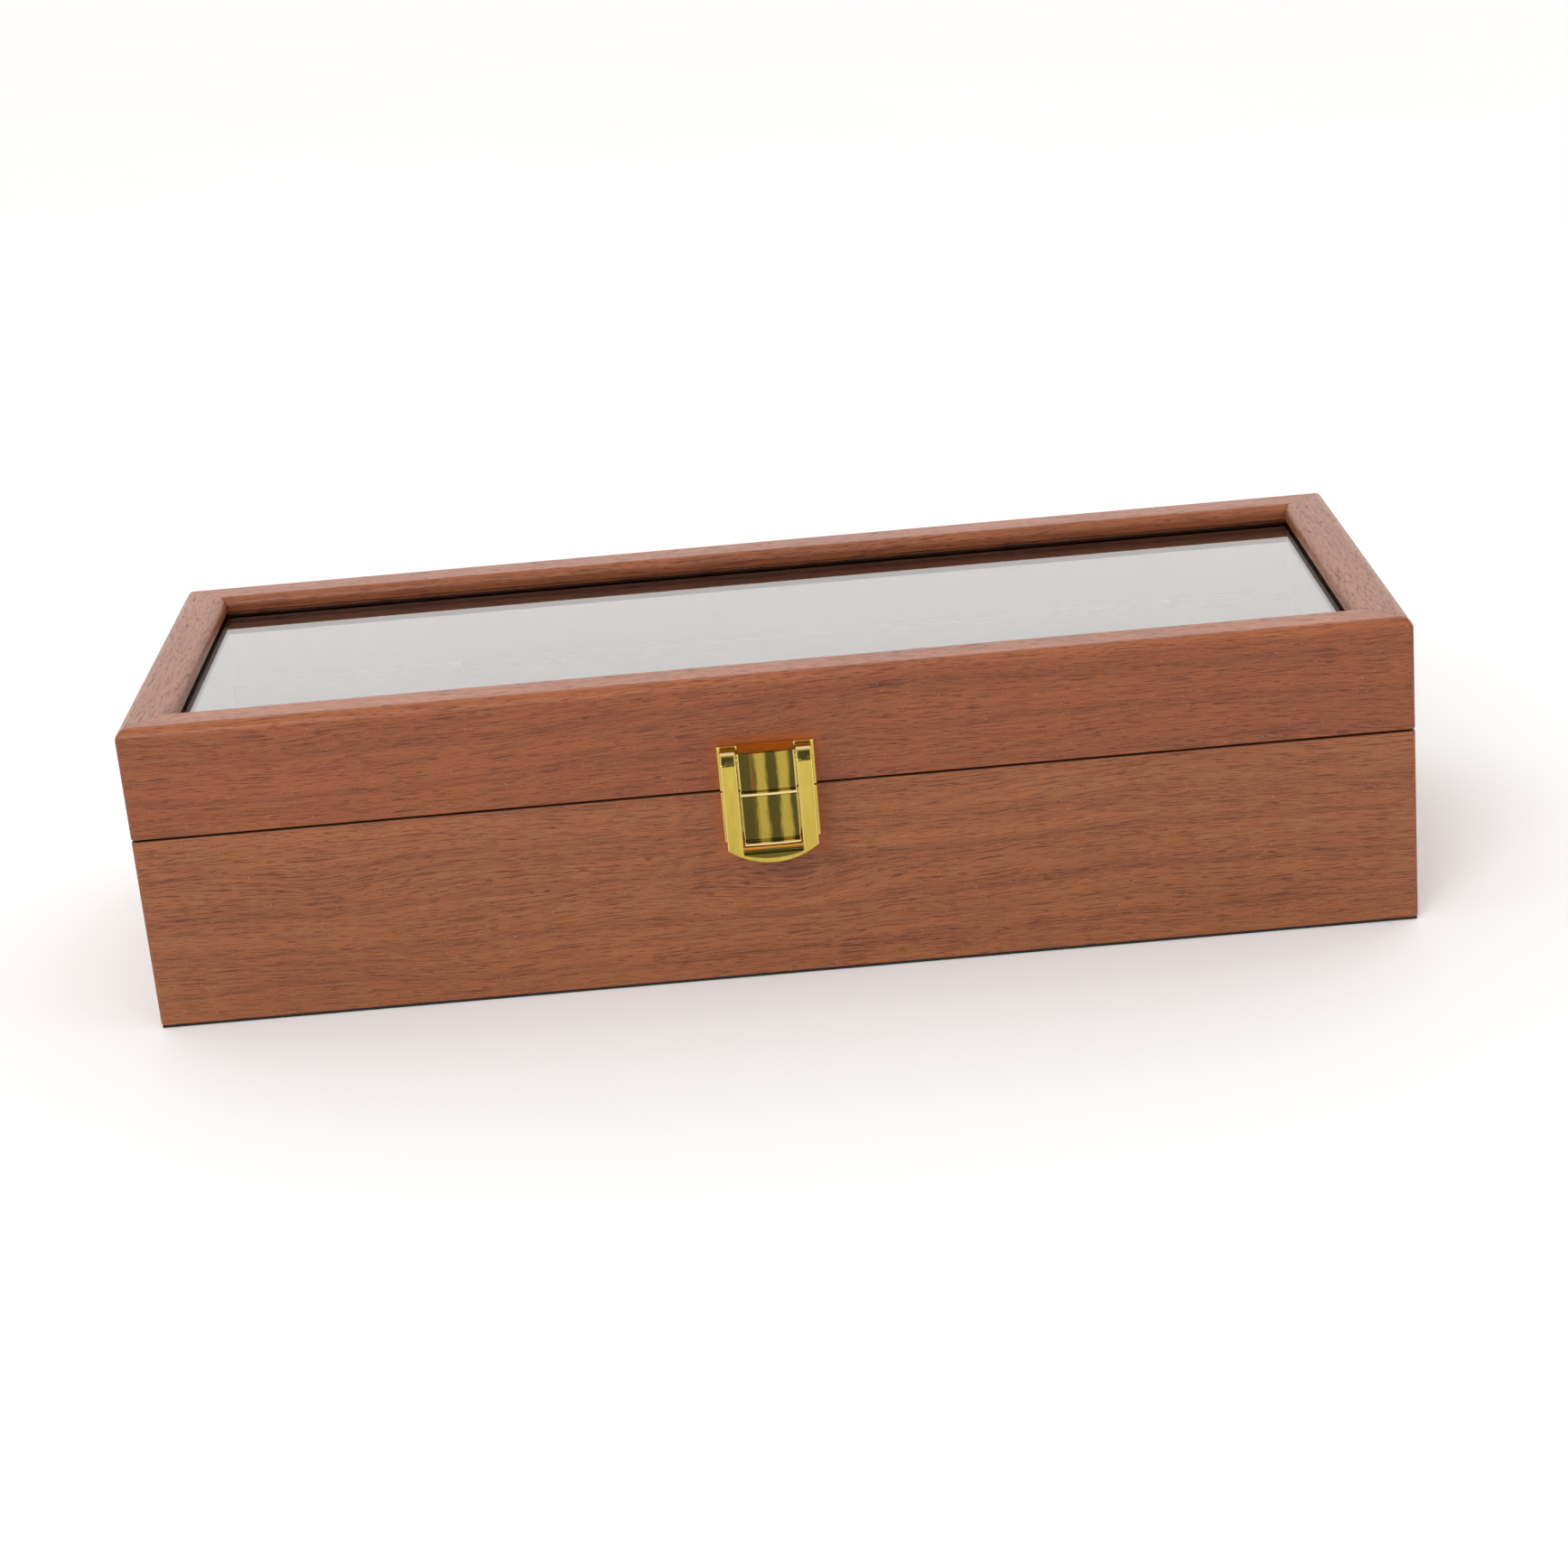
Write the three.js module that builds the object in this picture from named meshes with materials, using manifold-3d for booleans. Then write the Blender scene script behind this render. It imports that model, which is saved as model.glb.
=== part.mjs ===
// A wooden watch box for six watches, with a glass lid, butt hinges and a flip-over latch.
// Millimetres, +Z up, +X along the box, -Y towards the front. The origin is the centre of
// the felt underside, on the surface that the box stands on.
import * as THREE from 'three';
import { mergeVertices } from 'three/addons/utils/BufferGeometryUtils.js';
import Module from 'manifold-3d';

const wasm = await Module();
wasm.setup();

// ---- Driving dimensions ----------------------------------------------------------------

// The case as a whole
const BOX_LENGTH = 320;
const BOX_DEPTH = 122;
const BOX_HEIGHT = 80;
const SEAM_Z = 51; // middle of the joint line between case and lid
const SEAM_GAP = 0.4; // daylight in that joint line
const GLUE_LINE = 0.05; // each mitre face stands back by this much
const EASED_EDGE = 0.4; // small chamfer along the joint line

// The case below the joint line
const CASE_WALL = 9;
const RIDGE_HEIGHT = 0.35; // low ridge inside the joint line, which closes it to light
const RIDGE_INSET = 1.5;
const FELT_THICKNESS = 0.8;
const FELT_INSET = 0.3;
const PANEL_THICKNESS = 4;
const PANEL_RABBET = 4.2; // how far the bottom panel reaches into the boards
const PANEL_PLAY = 0.1;

// The lid above it
const RAIL_WIDTH = 12.8; // width of the frame around the glass
const LID_WALL = 7.5; // what is left of the rail behind the glass
const OUTER_ROUND = 3;
const INNER_ROUND = 2.5;
const GLASS_RECESS = 4.8; // glass surface below the top of the frame
const REVEAL_HEIGHT = 1; // shadow gap between the frame's inner edge and the glass
const REVEAL_DEPTH = 1;
const GLASS_THICKNESS = 3;
const GLASS_PLAY = 0.4;
const STRIP_THICKNESS = 4.6; // covered strips that hold the glass in
const STRIP_PLAY = 0.2;
const STRIP_LIFT = 2; // strips stop this far above the joint line

// Lining, dividers and cushions
const LINING = 1.5;
const LINING_PLAY = 0.2;
const LINING_DROP = 1.4; // lining stops this far below the joint line
const SLOT_COUNT = 6;
const DIVIDER_THICKNESS = 3;
const DIVIDER_HEIGHT = 39.5;
const CUSHION_WIDTH = 42;
const CUSHION_LENGTH = 88;
const CUSHION_HEIGHT = 35;
const CUSHION_PLAY = 0.3;
const CUSHION_BEVEL_X = 6;
const CUSHION_BEVEL_IN = 5;
const CUSHION_SQUARENESS = 2.7; // exponent of the side outline, 2 would be an ellipse
const CUSHION_SIDES = 28;

// Butt hinges
const HINGE_SPACING = 200;
const LEAF_LENGTH = 30;
const LEAF_DEPTH = 8;
const LEAF_THICKNESS = 1;
const MORTISE_PLAY = 0.1;
const BARREL_RADIUS = 2.2;
const BARREL_OFFSET = 2.6; // hinge axis behind the back of the case
const BARREL_CLEARANCE = 0.2;
const KNUCKLE_LENGTH = 9.8;
const KNUCKLE_GAP = 0.3;
const HINGE_PIN_RADIUS = 0.9;
const RUNNING_CLEARANCE = 0.05;
const ROUND_SIDES = 20;

// Hinge screws
const SCREW_SPACING = 20;
const SCREW_INSET = 4.2; // from the back face to the screw's axis
const SCREW_HEAD_RADIUS = 1.7;
const SCREW_SHANK_RADIUS = 0.7;
const SCREW_LENGTH = 7;
const SCREW_POINT = 1.5;
const SCREW_PLAY = 0.1;

// Latch: heights from the joint line, "proud" is the distance out from the front face
const LATCH_X = -1.1; // the latch sits a little left of the middle
const LATCH_FLANGE_HALF = 11.95;
const LATCH_FLANGE = 1;
const LATCH_BODY_HALF = 6.95;
const LATCH_BODY_PROUD = 5.7;
const LATCH_TOP = 12;
const LATCH_UPPER_END = 0.2;
const LATCH_LOWER_START = -0.2;
const LATCH_LOWER_END = -12.8;
const LATCH_LOWER_FLANGE_END = -13.5;
const LATCH_LIP_HEIGHT = 0.9;
const LATCH_BROW = 1; // the raised body's top slopes down by this much towards its front
const UPPER_LIP_PROUD = 6.5;
const LOWER_LIP_PROUD = 6.9;
const EAR_PROUD = 1.7;
const EAR_HEIGHT = 3.8;
const ARM_INNER = 7.4;
const ARM_OUTER = 11.3;
const ARM_BACK = 5.3;
const ARM_FRONT = 8;
const ARM_HEAD_START = 6; // the straight arm ends and its rounded head begins
const PIVOT_PROUD = 4.6;
const PIVOT_Z = 9.4;
const PIVOT_HEAD_RADIUS = 2.6;
const FACET_ANGLE = 50; // degrees, where the sloping facet leaves the rounded head
const FACET_END_Z = 9.2;
const LATCH_PIN_RADIUS = 0.7;
const LATCH_PIN_HALF = 10.5;
const LATCH_PIN_END_PLAY = 0.2;
const BAR_TOP = -14.6;
const BAR_SHOULDER = -13.2;
const BAR_SAG = 3.9; // the bar's round lower edge, below its shoulders
const CATCH_HALF = 7.4; // the catch joins the two arms
const CATCH_BACK = 2.6;
const CATCH_FRONT = 6.6;
const CATCH_TOP = -13.1;
const CATCH_BOTTOM = -15.4;
const NAIL_X = 9.3;
const LID_NAIL_Z = 3.5;
const CASE_NAIL_Z = -7;
const NAIL_HEAD_RADIUS = 1.2;
const NAIL_HEAD_HEIGHT = 0.6;
const NAIL_HEAD_FLAT = 0.84; // radius of the flat on top of the head
const NAIL_POINT = 1;
const NAIL_RADIUS = 0.5;
const NAIL_LENGTH = 6.5;
const NAIL_PLAY = 0.1;

const ARC_SEGMENTS = 6;
const WELD_DISTANCE = 1e-4;
const CUT_THROUGH = 1; // cutters reach this far past what they cut
const OVERLAP = 1; // joined solids reach this far into each other

// ---- Levels and spans that follow from them --------------------------------------------

const CASE_TOP = SEAM_Z - SEAM_GAP / 2;
const LID_BOTTOM = SEAM_Z + SEAM_GAP / 2;
const PANEL_TOP = FELT_THICKNESS + PANEL_THICKNESS;
const FLOOR_TOP = PANEL_TOP + LINING;
const GLASS_TOP = BOX_HEIGHT - GLASS_RECESS;
const GLASS_BOTTOM = GLASS_TOP - GLASS_THICKNESS;
const FRONT_Y = -BOX_DEPTH / 2;
const BACK_Y = BOX_DEPTH / 2;
const HINGE_Y = BACK_Y + BARREL_OFFSET;
const LINING_OUTER_X = BOX_LENGTH / 2 - CASE_WALL - LINING_PLAY;
const LINING_OUTER_Y = BOX_DEPTH / 2 - CASE_WALL - LINING_PLAY;
const ROOM_X = LINING_OUTER_X - LINING;
const ROOM_Y = LINING_OUTER_Y - LINING;
const SLOT_WIDTH = (2 * ROOM_X - (SLOT_COUNT - 1) * DIVIDER_THICKNESS) / SLOT_COUNT;
const SLOT_PITCH = SLOT_WIDTH + DIVIDER_THICKNESS;

// ---- Materials -------------------------------------------------------------------------

const finishes = {
  walnut: { color: 0x97603f, roughness: 0.45, metalness: 0 },
  gold: { color: 0xc9ad4f, roughness: 0.18, metalness: 1 },
  brass: { color: 0xb9974a, roughness: 0.3, metalness: 1 },
  glass: { color: 0xe6eeee, roughness: 0.03, metalness: 0, transparent: true, opacity: 0.35 },
  velvet: { color: 0x1b1a1c, roughness: 0.95, metalness: 0 },
  pillow: { color: 0x232125, roughness: 0.9, metalness: 0 },
  felt: { color: 0x1f1b19, roughness: 1, metalness: 0 },
  panel: { color: 0x8a6a4c, roughness: 0.8, metalness: 0 },
};

const root = new THREE.Group();

/** Add one named piece to the box. */
function piece(name, geometry, finish) {
  const mesh = new THREE.Mesh(geometry, new THREE.MeshStandardMaterial(finishes[finish]));
  mesh.name = name;
  root.add(mesh);
  return mesh;
}

// ---- Solids ----------------------------------------------------------------------------

/** A closed geometry as a solid that can be joined and cut. */
function solid(geometry) {
  const bare = geometry.clone();
  bare.deleteAttribute('normal');
  bare.deleteAttribute('uv');
  const welded = mergeVertices(bare, WELD_DISTANCE);
  const vertProperties = new Float32Array(welded.attributes.position.array);
  const triVerts = new Uint32Array(welded.index.array);
  return new wasm.Manifold(new wasm.Mesh({ numProp: 3, vertProperties, triVerts }));
}

/** A solid back as geometry. */
function geometryOf(body) {
  const mesh = body.getMesh();
  const geometry = new THREE.BufferGeometry();
  geometry.setAttribute('position', new THREE.BufferAttribute(mesh.vertProperties, 3));
  geometry.setIndex(new THREE.BufferAttribute(mesh.triVerts, 1));
  geometry.computeVertexNormals();
  return geometry;
}

/** First geometry with the added ones joined on and the removed ones cut away. */
function build(first, added, removed = []) {
  let body = solid(first);
  for (const extra of added) {
    body = body.add(solid(extra));
  }
  for (const cut of removed) {
    body = body.subtract(solid(cut));
  }
  return geometryOf(body);
}

/** A box from its low corner to its high corner. */
function block(low, high) {
  const size = high.map((value, axis) => value - low[axis]);
  const geometry = new THREE.BoxGeometry(...size);
  geometry.translate(...low.map((value, axis) => value + size[axis] / 2));
  return geometry;
}

/** A round bar along X between two ends. */
function rodX(radius, x0, x1, y, z) {
  const geometry = new THREE.CylinderGeometry(radius, radius, x1 - x0, ROUND_SIDES);
  geometry.rotateZ(Math.PI / 2);
  geometry.translate((x0 + x1) / 2, y, z);
  return geometry;
}

/** A solid of revolution about its own Y axis; the profile starts and ends on the axis. */
function turned(points) {
  const profile = points.map(([radius, height]) => new THREE.Vector2(radius, height));
  return new THREE.LatheGeometry(profile, ROUND_SIDES);
}

/**
 * One rail of a mitred frame, its outer face at y = -offset. The outline is drawn with the
 * inset from the outer face across and the height up.
 */
function mitredRail(outline, span, offset) {
  const geometry = new THREE.ExtrudeGeometry(outline, {
    depth: 1,
    bevelEnabled: false,
    curveSegments: ARC_SEGMENTS,
  });
  const position = geometry.attributes.position;
  for (let i = 0; i < position.count; i += 1) {
    const inset = position.getX(i);
    const height = position.getY(i);
    const end = Math.sign(position.getZ(i) - 0.5);
    position.setXYZ(i, end * (span / 2 - inset - GLUE_LINE), inset - offset, height);
  }
  return geometry;
}

const SIDES = [
  { side: 'front', span: BOX_LENGTH, offset: BOX_DEPTH / 2, turn: 0 },
  { side: 'right', span: BOX_DEPTH, offset: BOX_LENGTH / 2, turn: Math.PI / 2 },
  { side: 'back', span: BOX_LENGTH, offset: BOX_DEPTH / 2, turn: Math.PI },
  { side: 'left', span: BOX_DEPTH, offset: BOX_LENGTH / 2, turn: -Math.PI / 2 },
];

/** Outline of a case board: a rabbet for the bottom panel and a low ridge on its top edge. */
function caseOutline() {
  const rabbetTop = PANEL_TOP + PANEL_PLAY;
  const shape = new THREE.Shape();
  shape.moveTo(0, FELT_THICKNESS);
  shape.lineTo(CASE_WALL - PANEL_RABBET, FELT_THICKNESS);
  shape.lineTo(CASE_WALL - PANEL_RABBET, rabbetTop);
  shape.lineTo(CASE_WALL, rabbetTop);
  shape.lineTo(CASE_WALL, CASE_TOP + RIDGE_HEIGHT);
  shape.lineTo(RIDGE_INSET, CASE_TOP + RIDGE_HEIGHT);
  shape.lineTo(RIDGE_INSET, CASE_TOP);
  shape.lineTo(EASED_EDGE, CASE_TOP);
  shape.lineTo(0, CASE_TOP - EASED_EDGE);
  return shape;
}

/**
 * Outline of a lid rail: a wall, a rabbet for the glass, a narrow shadow gap just above the
 * glass and a rounded frame over that.
 */
function lidOutline() {
  const shape = new THREE.Shape();
  shape.moveTo(EASED_EDGE, LID_BOTTOM);
  shape.lineTo(LID_WALL, LID_BOTTOM);
  shape.lineTo(LID_WALL, GLASS_TOP);
  shape.lineTo(RAIL_WIDTH - REVEAL_DEPTH, GLASS_TOP);
  shape.lineTo(RAIL_WIDTH - REVEAL_DEPTH, GLASS_TOP + REVEAL_HEIGHT);
  shape.lineTo(RAIL_WIDTH, GLASS_TOP + REVEAL_HEIGHT);
  shape.absarc(RAIL_WIDTH - INNER_ROUND, BOX_HEIGHT - INNER_ROUND, INNER_ROUND, 0, Math.PI / 2);
  shape.absarc(OUTER_ROUND, BOX_HEIGHT - OUTER_ROUND, OUTER_ROUND, Math.PI / 2, Math.PI);
  shape.lineTo(0, LID_BOTTOM + EASED_EDGE);
  return shape;
}

/** A plain rectangular outline between two insets and two heights. */
function stripOutline(inset0, inset1, z0, z1) {
  const shape = new THREE.Shape();
  shape.moveTo(inset0, z0);
  shape.lineTo(inset1, z0);
  shape.lineTo(inset1, z1);
  shape.lineTo(inset0, z1);
  return shape;
}

// ---- What is cut into the wood ---------------------------------------------------------

const hingeCentres = [-HINGE_SPACING / 2, HINGE_SPACING / 2];
const screwOffsets = [-SCREW_SPACING / 2, SCREW_SPACING / 2];

/** Mortise and screw holes for one hinge leaf; up is 1 in the lid and -1 in the case. */
function hingeCuts(centreX, up) {
  const half = LEAF_LENGTH / 2 + MORTISE_PLAY;
  const face = SEAM_Z + up * SEAM_GAP / 2;
  const floor = face + up * (LEAF_THICKNESS + MORTISE_PLAY);
  const outside = SEAM_Z - up * CUT_THROUGH;
  const mortise = block(
    [centreX - half, BACK_Y - LEAF_DEPTH - MORTISE_PLAY, Math.min(outside, floor)],
    [centreX + half, BACK_Y + CUT_THROUGH, Math.max(outside, floor)],
  );
  const holes = screwOffsets.map((dx) => {
    const depth = SCREW_LENGTH + SCREW_PLAY;
    const radius = SCREW_SHANK_RADIUS + SCREW_PLAY;
    const hole = new THREE.CylinderGeometry(radius, radius, depth, ROUND_SIDES);
    hole.rotateX(Math.PI / 2);
    hole.translate(centreX + dx, BACK_Y - SCREW_INSET, face + up * depth / 2);
    return hole;
  });
  return [mortise, ...holes];
}

/** Holes in the front for one pair of latch nails. */
function nailHoles(z) {
  return [-NAIL_X, NAIL_X].map((x) => {
    const depth = NAIL_LENGTH + NAIL_PLAY;
    const radius = NAIL_RADIUS + NAIL_PLAY;
    const hole = new THREE.CylinderGeometry(radius, radius, depth, ROUND_SIDES);
    hole.translate(LATCH_X + x, FRONT_Y - LATCH_FLANGE + depth / 2, SEAM_Z + z);
    return hole;
  });
}

/** Turn cuts into the frame of a rail that is built facing front and turned to the back. */
function turnedBack(cuts) {
  return cuts.map((cut) => cut.rotateZ(Math.PI));
}

function frameRails(prefix, suffix, outline, cutsBySide) {
  for (const { side, span, offset, turn } of SIDES) {
    const rail = mitredRail(outline, span, offset);
    const cuts = cutsBySide[side] ?? [];
    const geometry = cuts.length > 0 ? build(rail, [], cuts) : rail;
    piece(`${prefix}_${side}_${suffix}`, geometry, 'walnut').rotation.z = turn;
  }
}

// ---- The case --------------------------------------------------------------------------

function addCase() {
  const backCuts = hingeCentres.flatMap((x) => hingeCuts(x, -1));
  frameRails('base', 'board', caseOutline(), {
    front: nailHoles(CASE_NAIL_Z),
    back: turnedBack(backCuts),
  });
  const panelX = BOX_LENGTH / 2 - CASE_WALL + PANEL_RABBET - PANEL_PLAY;
  const panelY = BOX_DEPTH / 2 - CASE_WALL + PANEL_RABBET - PANEL_PLAY;
  piece('bottom_panel', block(
    [-panelX, -panelY, FELT_THICKNESS],
    [panelX, panelY, PANEL_TOP],
  ), 'panel');
  const feltX = BOX_LENGTH / 2 - FELT_INSET;
  const feltY = BOX_DEPTH / 2 - FELT_INSET;
  piece('base_felt', block([-feltX, -feltY, 0], [feltX, feltY, FELT_THICKNESS]), 'felt');
}

/** Velvet-covered card on the floor and walls of the case. */
function addLining() {
  const top = SEAM_Z - LINING_DROP;
  piece('lining_floor', block(
    [-LINING_OUTER_X, -LINING_OUTER_Y, PANEL_TOP],
    [LINING_OUTER_X, LINING_OUTER_Y, FLOOR_TOP],
  ), 'velvet');
  for (const [name, sign] of [['front', -1], ['back', 1]]) {
    const faces = [sign * ROOM_Y, sign * LINING_OUTER_Y];
    piece(`lining_${name}`, block(
      [-LINING_OUTER_X, Math.min(...faces), FLOOR_TOP],
      [LINING_OUTER_X, Math.max(...faces), top],
    ), 'velvet');
  }
  const endY = ROOM_Y - LINING_PLAY;
  for (const [name, sign] of [['left', -1], ['right', 1]]) {
    const faces = [sign * ROOM_X, sign * LINING_OUTER_X];
    piece(`lining_${name}`, block(
      [Math.min(...faces), -endY, FLOOR_TOP],
      [Math.max(...faces), endY, top],
    ), 'velvet');
  }
}

function addDividers() {
  const endY = ROOM_Y - LINING_PLAY;
  for (let i = 1; i < SLOT_COUNT; i += 1) {
    const x0 = -ROOM_X + i * SLOT_PITCH - DIVIDER_THICKNESS;
    piece(`divider_${i}`, block(
      [x0, -endY, FLOOR_TOP],
      [x0 + DIVIDER_THICKNESS, endY, FLOOR_TOP + DIVIDER_HEIGHT],
    ), 'velvet');
  }
}

/** Side outline of a watch cushion, a squarish ellipse less the bevel around its ends. */
function cushionOutline() {
  const halfY = CUSHION_LENGTH / 2 - CUSHION_BEVEL_IN;
  const halfZ = CUSHION_HEIGHT / 2 - CUSHION_BEVEL_IN;
  const power = 2 / CUSHION_SQUARENESS;
  const points = [];
  for (let i = 0; i < CUSHION_SIDES; i += 1) {
    const angle = (2 * Math.PI * i) / CUSHION_SIDES;
    const c = Math.cos(angle);
    const s = Math.sin(angle);
    points.push(new THREE.Vector2(
      halfY * Math.sign(c) * Math.abs(c) ** power,
      halfZ * Math.sign(s) * Math.abs(s) ** power,
    ));
  }
  return new THREE.Shape(points);
}

function addCushions() {
  const depth = CUSHION_WIDTH - 2 * CUSHION_BEVEL_X;
  const geometry = new THREE.ExtrudeGeometry(cushionOutline(), {
    depth,
    bevelThickness: CUSHION_BEVEL_X,
    bevelSize: CUSHION_BEVEL_IN,
    bevelSegments: 2,
  });
  geometry.translate(0, 0, -depth / 2);
  geometry.rotateX(Math.PI / 2);
  geometry.rotateZ(Math.PI / 2);
  for (let i = 0; i < SLOT_COUNT; i += 1) {
    const cushion = piece(`cushion_${i + 1}`, geometry, 'pillow');
    cushion.position.x = -ROOM_X + SLOT_WIDTH / 2 + i * SLOT_PITCH;
    cushion.position.z = FLOOR_TOP + CUSHION_PLAY + CUSHION_HEIGHT / 2;
  }
}

// ---- The lid ---------------------------------------------------------------------------

function addLid() {
  const backCuts = hingeCentres.flatMap((x) => hingeCuts(x, 1));
  frameRails('lid', 'rail', lidOutline(), {
    front: nailHoles(LID_NAIL_Z),
    back: turnedBack(backCuts),
  });
  const glassX = BOX_LENGTH / 2 - LID_WALL - GLASS_PLAY;
  const glassY = BOX_DEPTH / 2 - LID_WALL - GLASS_PLAY;
  piece('lid_glass', block(
    [-glassX, -glassY, GLASS_BOTTOM],
    [glassX, glassY, GLASS_TOP],
  ), 'glass');
}

/** Velvet-covered strips under the glass, mitred like the rails around them. */
function addGlassStrips() {
  const inset = LID_WALL + STRIP_PLAY;
  const outline = stripOutline(
    inset,
    inset + STRIP_THICKNESS,
    LID_BOTTOM + STRIP_LIFT,
    GLASS_BOTTOM,
  );
  for (const { side, span, offset, turn } of SIDES) {
    piece(`lid_strip_${side}`, mitredRail(outline, span, offset), 'velvet').rotation.z = turn;
  }
}

// ---- The hinges ------------------------------------------------------------------------

/** Knuckle spans along X about the hinge's centre: two for the case, one for the lid. */
const KNUCKLE_INNER = LEAF_LENGTH / 2 - KNUCKLE_LENGTH;
const knuckleSpans = {
  base: [[-LEAF_LENGTH / 2, -KNUCKLE_INNER], [KNUCKLE_INNER, LEAF_LENGTH / 2]],
  lid: [[-KNUCKLE_INNER + KNUCKLE_GAP, KNUCKLE_INNER - KNUCKLE_GAP]],
};

/** Countersunk screw pointing down from its flat head, with the head's top at zero. */
function screwGeometry(play) {
  return turned([
    [0, -SCREW_LENGTH],
    [SCREW_SHANK_RADIUS + play, -SCREW_LENGTH + SCREW_POINT],
    [SCREW_SHANK_RADIUS + play, -LEAF_THICKNESS],
    [SCREW_HEAD_RADIUS + play, 0],
    [0, 0],
  ]);
}

/** One leaf with its knuckles; up is 1 for the lid's leaf and -1 for the case's. */
function leafGeometry(owner, up) {
  const face = SEAM_Z + up * SEAM_GAP / 2;
  const back = face + up * LEAF_THICKNESS;
  const low = Math.min(face, back);
  const high = Math.max(face, back);
  const half = LEAF_LENGTH / 2;
  const plateEnd = HINGE_Y - BARREL_RADIUS - BARREL_CLEARANCE;
  const plate = block([-half, BACK_Y - LEAF_DEPTH, low], [half, plateEnd, high]);
  const barrels = knuckleSpans[owner].flatMap(([x0, x1]) => [
    block([x0, plateEnd - OVERLAP, low], [x1, HINGE_Y, high]),
    rodX(BARREL_RADIUS, x0, x1, HINGE_Y, SEAM_Z),
  ]);
  const boreHalf = half + CUT_THROUGH;
  const bore = rodX(HINGE_PIN_RADIUS + RUNNING_CLEARANCE, -boreHalf, boreHalf, HINGE_Y, SEAM_Z);
  const sinks = screwOffsets.map((dx) => {
    const sink = screwGeometry(SCREW_PLAY);
    sink.rotateX(up * -Math.PI / 2);
    sink.translate(dx, BACK_Y - SCREW_INSET, face);
    return sink;
  });
  return build(plate, barrels, [bore, ...sinks]);
}

function addHinges() {
  const owners = [['base', -1], ['lid', 1]];
  const pin = rodX(HINGE_PIN_RADIUS, -LEAF_LENGTH / 2, LEAF_LENGTH / 2, HINGE_Y, SEAM_Z);
  const sideNames = ['left', 'right'];
  hingeCentres.forEach((x, index) => {
    const side = sideNames[index];
    piece(`hinge_pin_${side}`, pin, 'brass').position.x = x;
    for (const [owner, up] of owners) {
      piece(`hinge_leaf_${owner}_${side}`, leafGeometry(owner, up), 'brass').position.x = x;
      screwOffsets.forEach((dx, number) => {
        const screw = screwGeometry(0);
        screw.rotateX(up * -Math.PI / 2);
        const node = piece(`hinge_screw_${owner}_${side}_${number + 1}`, screw, 'brass');
        node.position.set(x + dx, BACK_Y - SCREW_INSET, SEAM_Z + up * SEAM_GAP / 2);
      });
    }
  });
}

// ---- The latch -------------------------------------------------------------------------

/** A box on the front face, from its place across, its distance out and its height. */
function latchBlock(x0, x1, proud0, proud1, z0, z1) {
  return block(
    [LATCH_X + x0, FRONT_Y - proud1, SEAM_Z + z0],
    [LATCH_X + x1, FRONT_Y - proud0, SEAM_Z + z1],
  );
}

function latchBore(half) {
  const radius = LATCH_PIN_RADIUS + RUNNING_CLEARANCE;
  const y = FRONT_Y - PIVOT_PROUD;
  return rodX(radius, LATCH_X - half, LATCH_X + half, y, SEAM_Z + PIVOT_Z);
}

/** Wedge cut off the raised body's top, leaving it lower at the front. */
function latchBrow() {
  const shape = new THREE.Shape();
  shape.moveTo(LATCH_FLANGE, LATCH_TOP);
  shape.lineTo(LATCH_BODY_PROUD + CUT_THROUGH, LATCH_TOP);
  shape.lineTo(LATCH_BODY_PROUD + CUT_THROUGH, LATCH_TOP - LATCH_BROW);
  shape.lineTo(LATCH_BODY_PROUD, LATCH_TOP - LATCH_BROW);
  const wedge = new THREE.ExtrudeGeometry(shape, {
    depth: 2 * LATCH_BODY_HALF,
    bevelEnabled: false,
  });
  wedge.rotateX(Math.PI / 2);
  wedge.rotateZ(-Math.PI / 2);
  wedge.translate(LATCH_X + LATCH_BODY_HALF, FRONT_Y, SEAM_Z);
  return wedge;
}

/** The fixed half of the latch on the lid: flange, raised body, lip and ears. */
function lidPlateGeometry() {
  const flange = latchBlock(
    -LATCH_FLANGE_HALF, LATCH_FLANGE_HALF, 0, LATCH_FLANGE, LATCH_UPPER_END, LATCH_TOP,
  );
  const raised = latchBlock(
    -LATCH_BODY_HALF, LATCH_BODY_HALF, 0, LATCH_BODY_PROUD, LATCH_UPPER_END, LATCH_TOP,
  );
  const lip = latchBlock(
    -LATCH_BODY_HALF, LATCH_BODY_HALF, 0, UPPER_LIP_PROUD,
    LATCH_UPPER_END, LATCH_UPPER_END + LATCH_LIP_HEIGHT,
  );
  const ears = latchBlock(
    -LATCH_FLANGE_HALF, LATCH_FLANGE_HALF, 0, EAR_PROUD, LATCH_TOP - EAR_HEIGHT, LATCH_TOP,
  );
  const cuts = [latchBrow(), latchBore(ARM_INNER), ...nailHoles(LID_NAIL_Z)];
  return build(flange, [raised, lip, ears], cuts);
}

/** The fixed half on the case, with the lip that the lever's catch hooks under. */
function casePlateGeometry() {
  const flange = latchBlock(
    -LATCH_FLANGE_HALF, LATCH_FLANGE_HALF, 0, LATCH_FLANGE,
    LATCH_LOWER_FLANGE_END, LATCH_LOWER_START,
  );
  const raised = latchBlock(
    -LATCH_BODY_HALF, LATCH_BODY_HALF, 0, LATCH_BODY_PROUD, LATCH_LOWER_END, LATCH_LOWER_START,
  );
  const lip = latchBlock(
    -LATCH_BODY_HALF, LATCH_BODY_HALF, 0, LOWER_LIP_PROUD,
    LATCH_LOWER_END, LATCH_LOWER_END + LATCH_LIP_HEIGHT,
  );
  return build(flange, [raised, lip], nailHoles(CASE_NAIL_Z));
}

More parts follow.
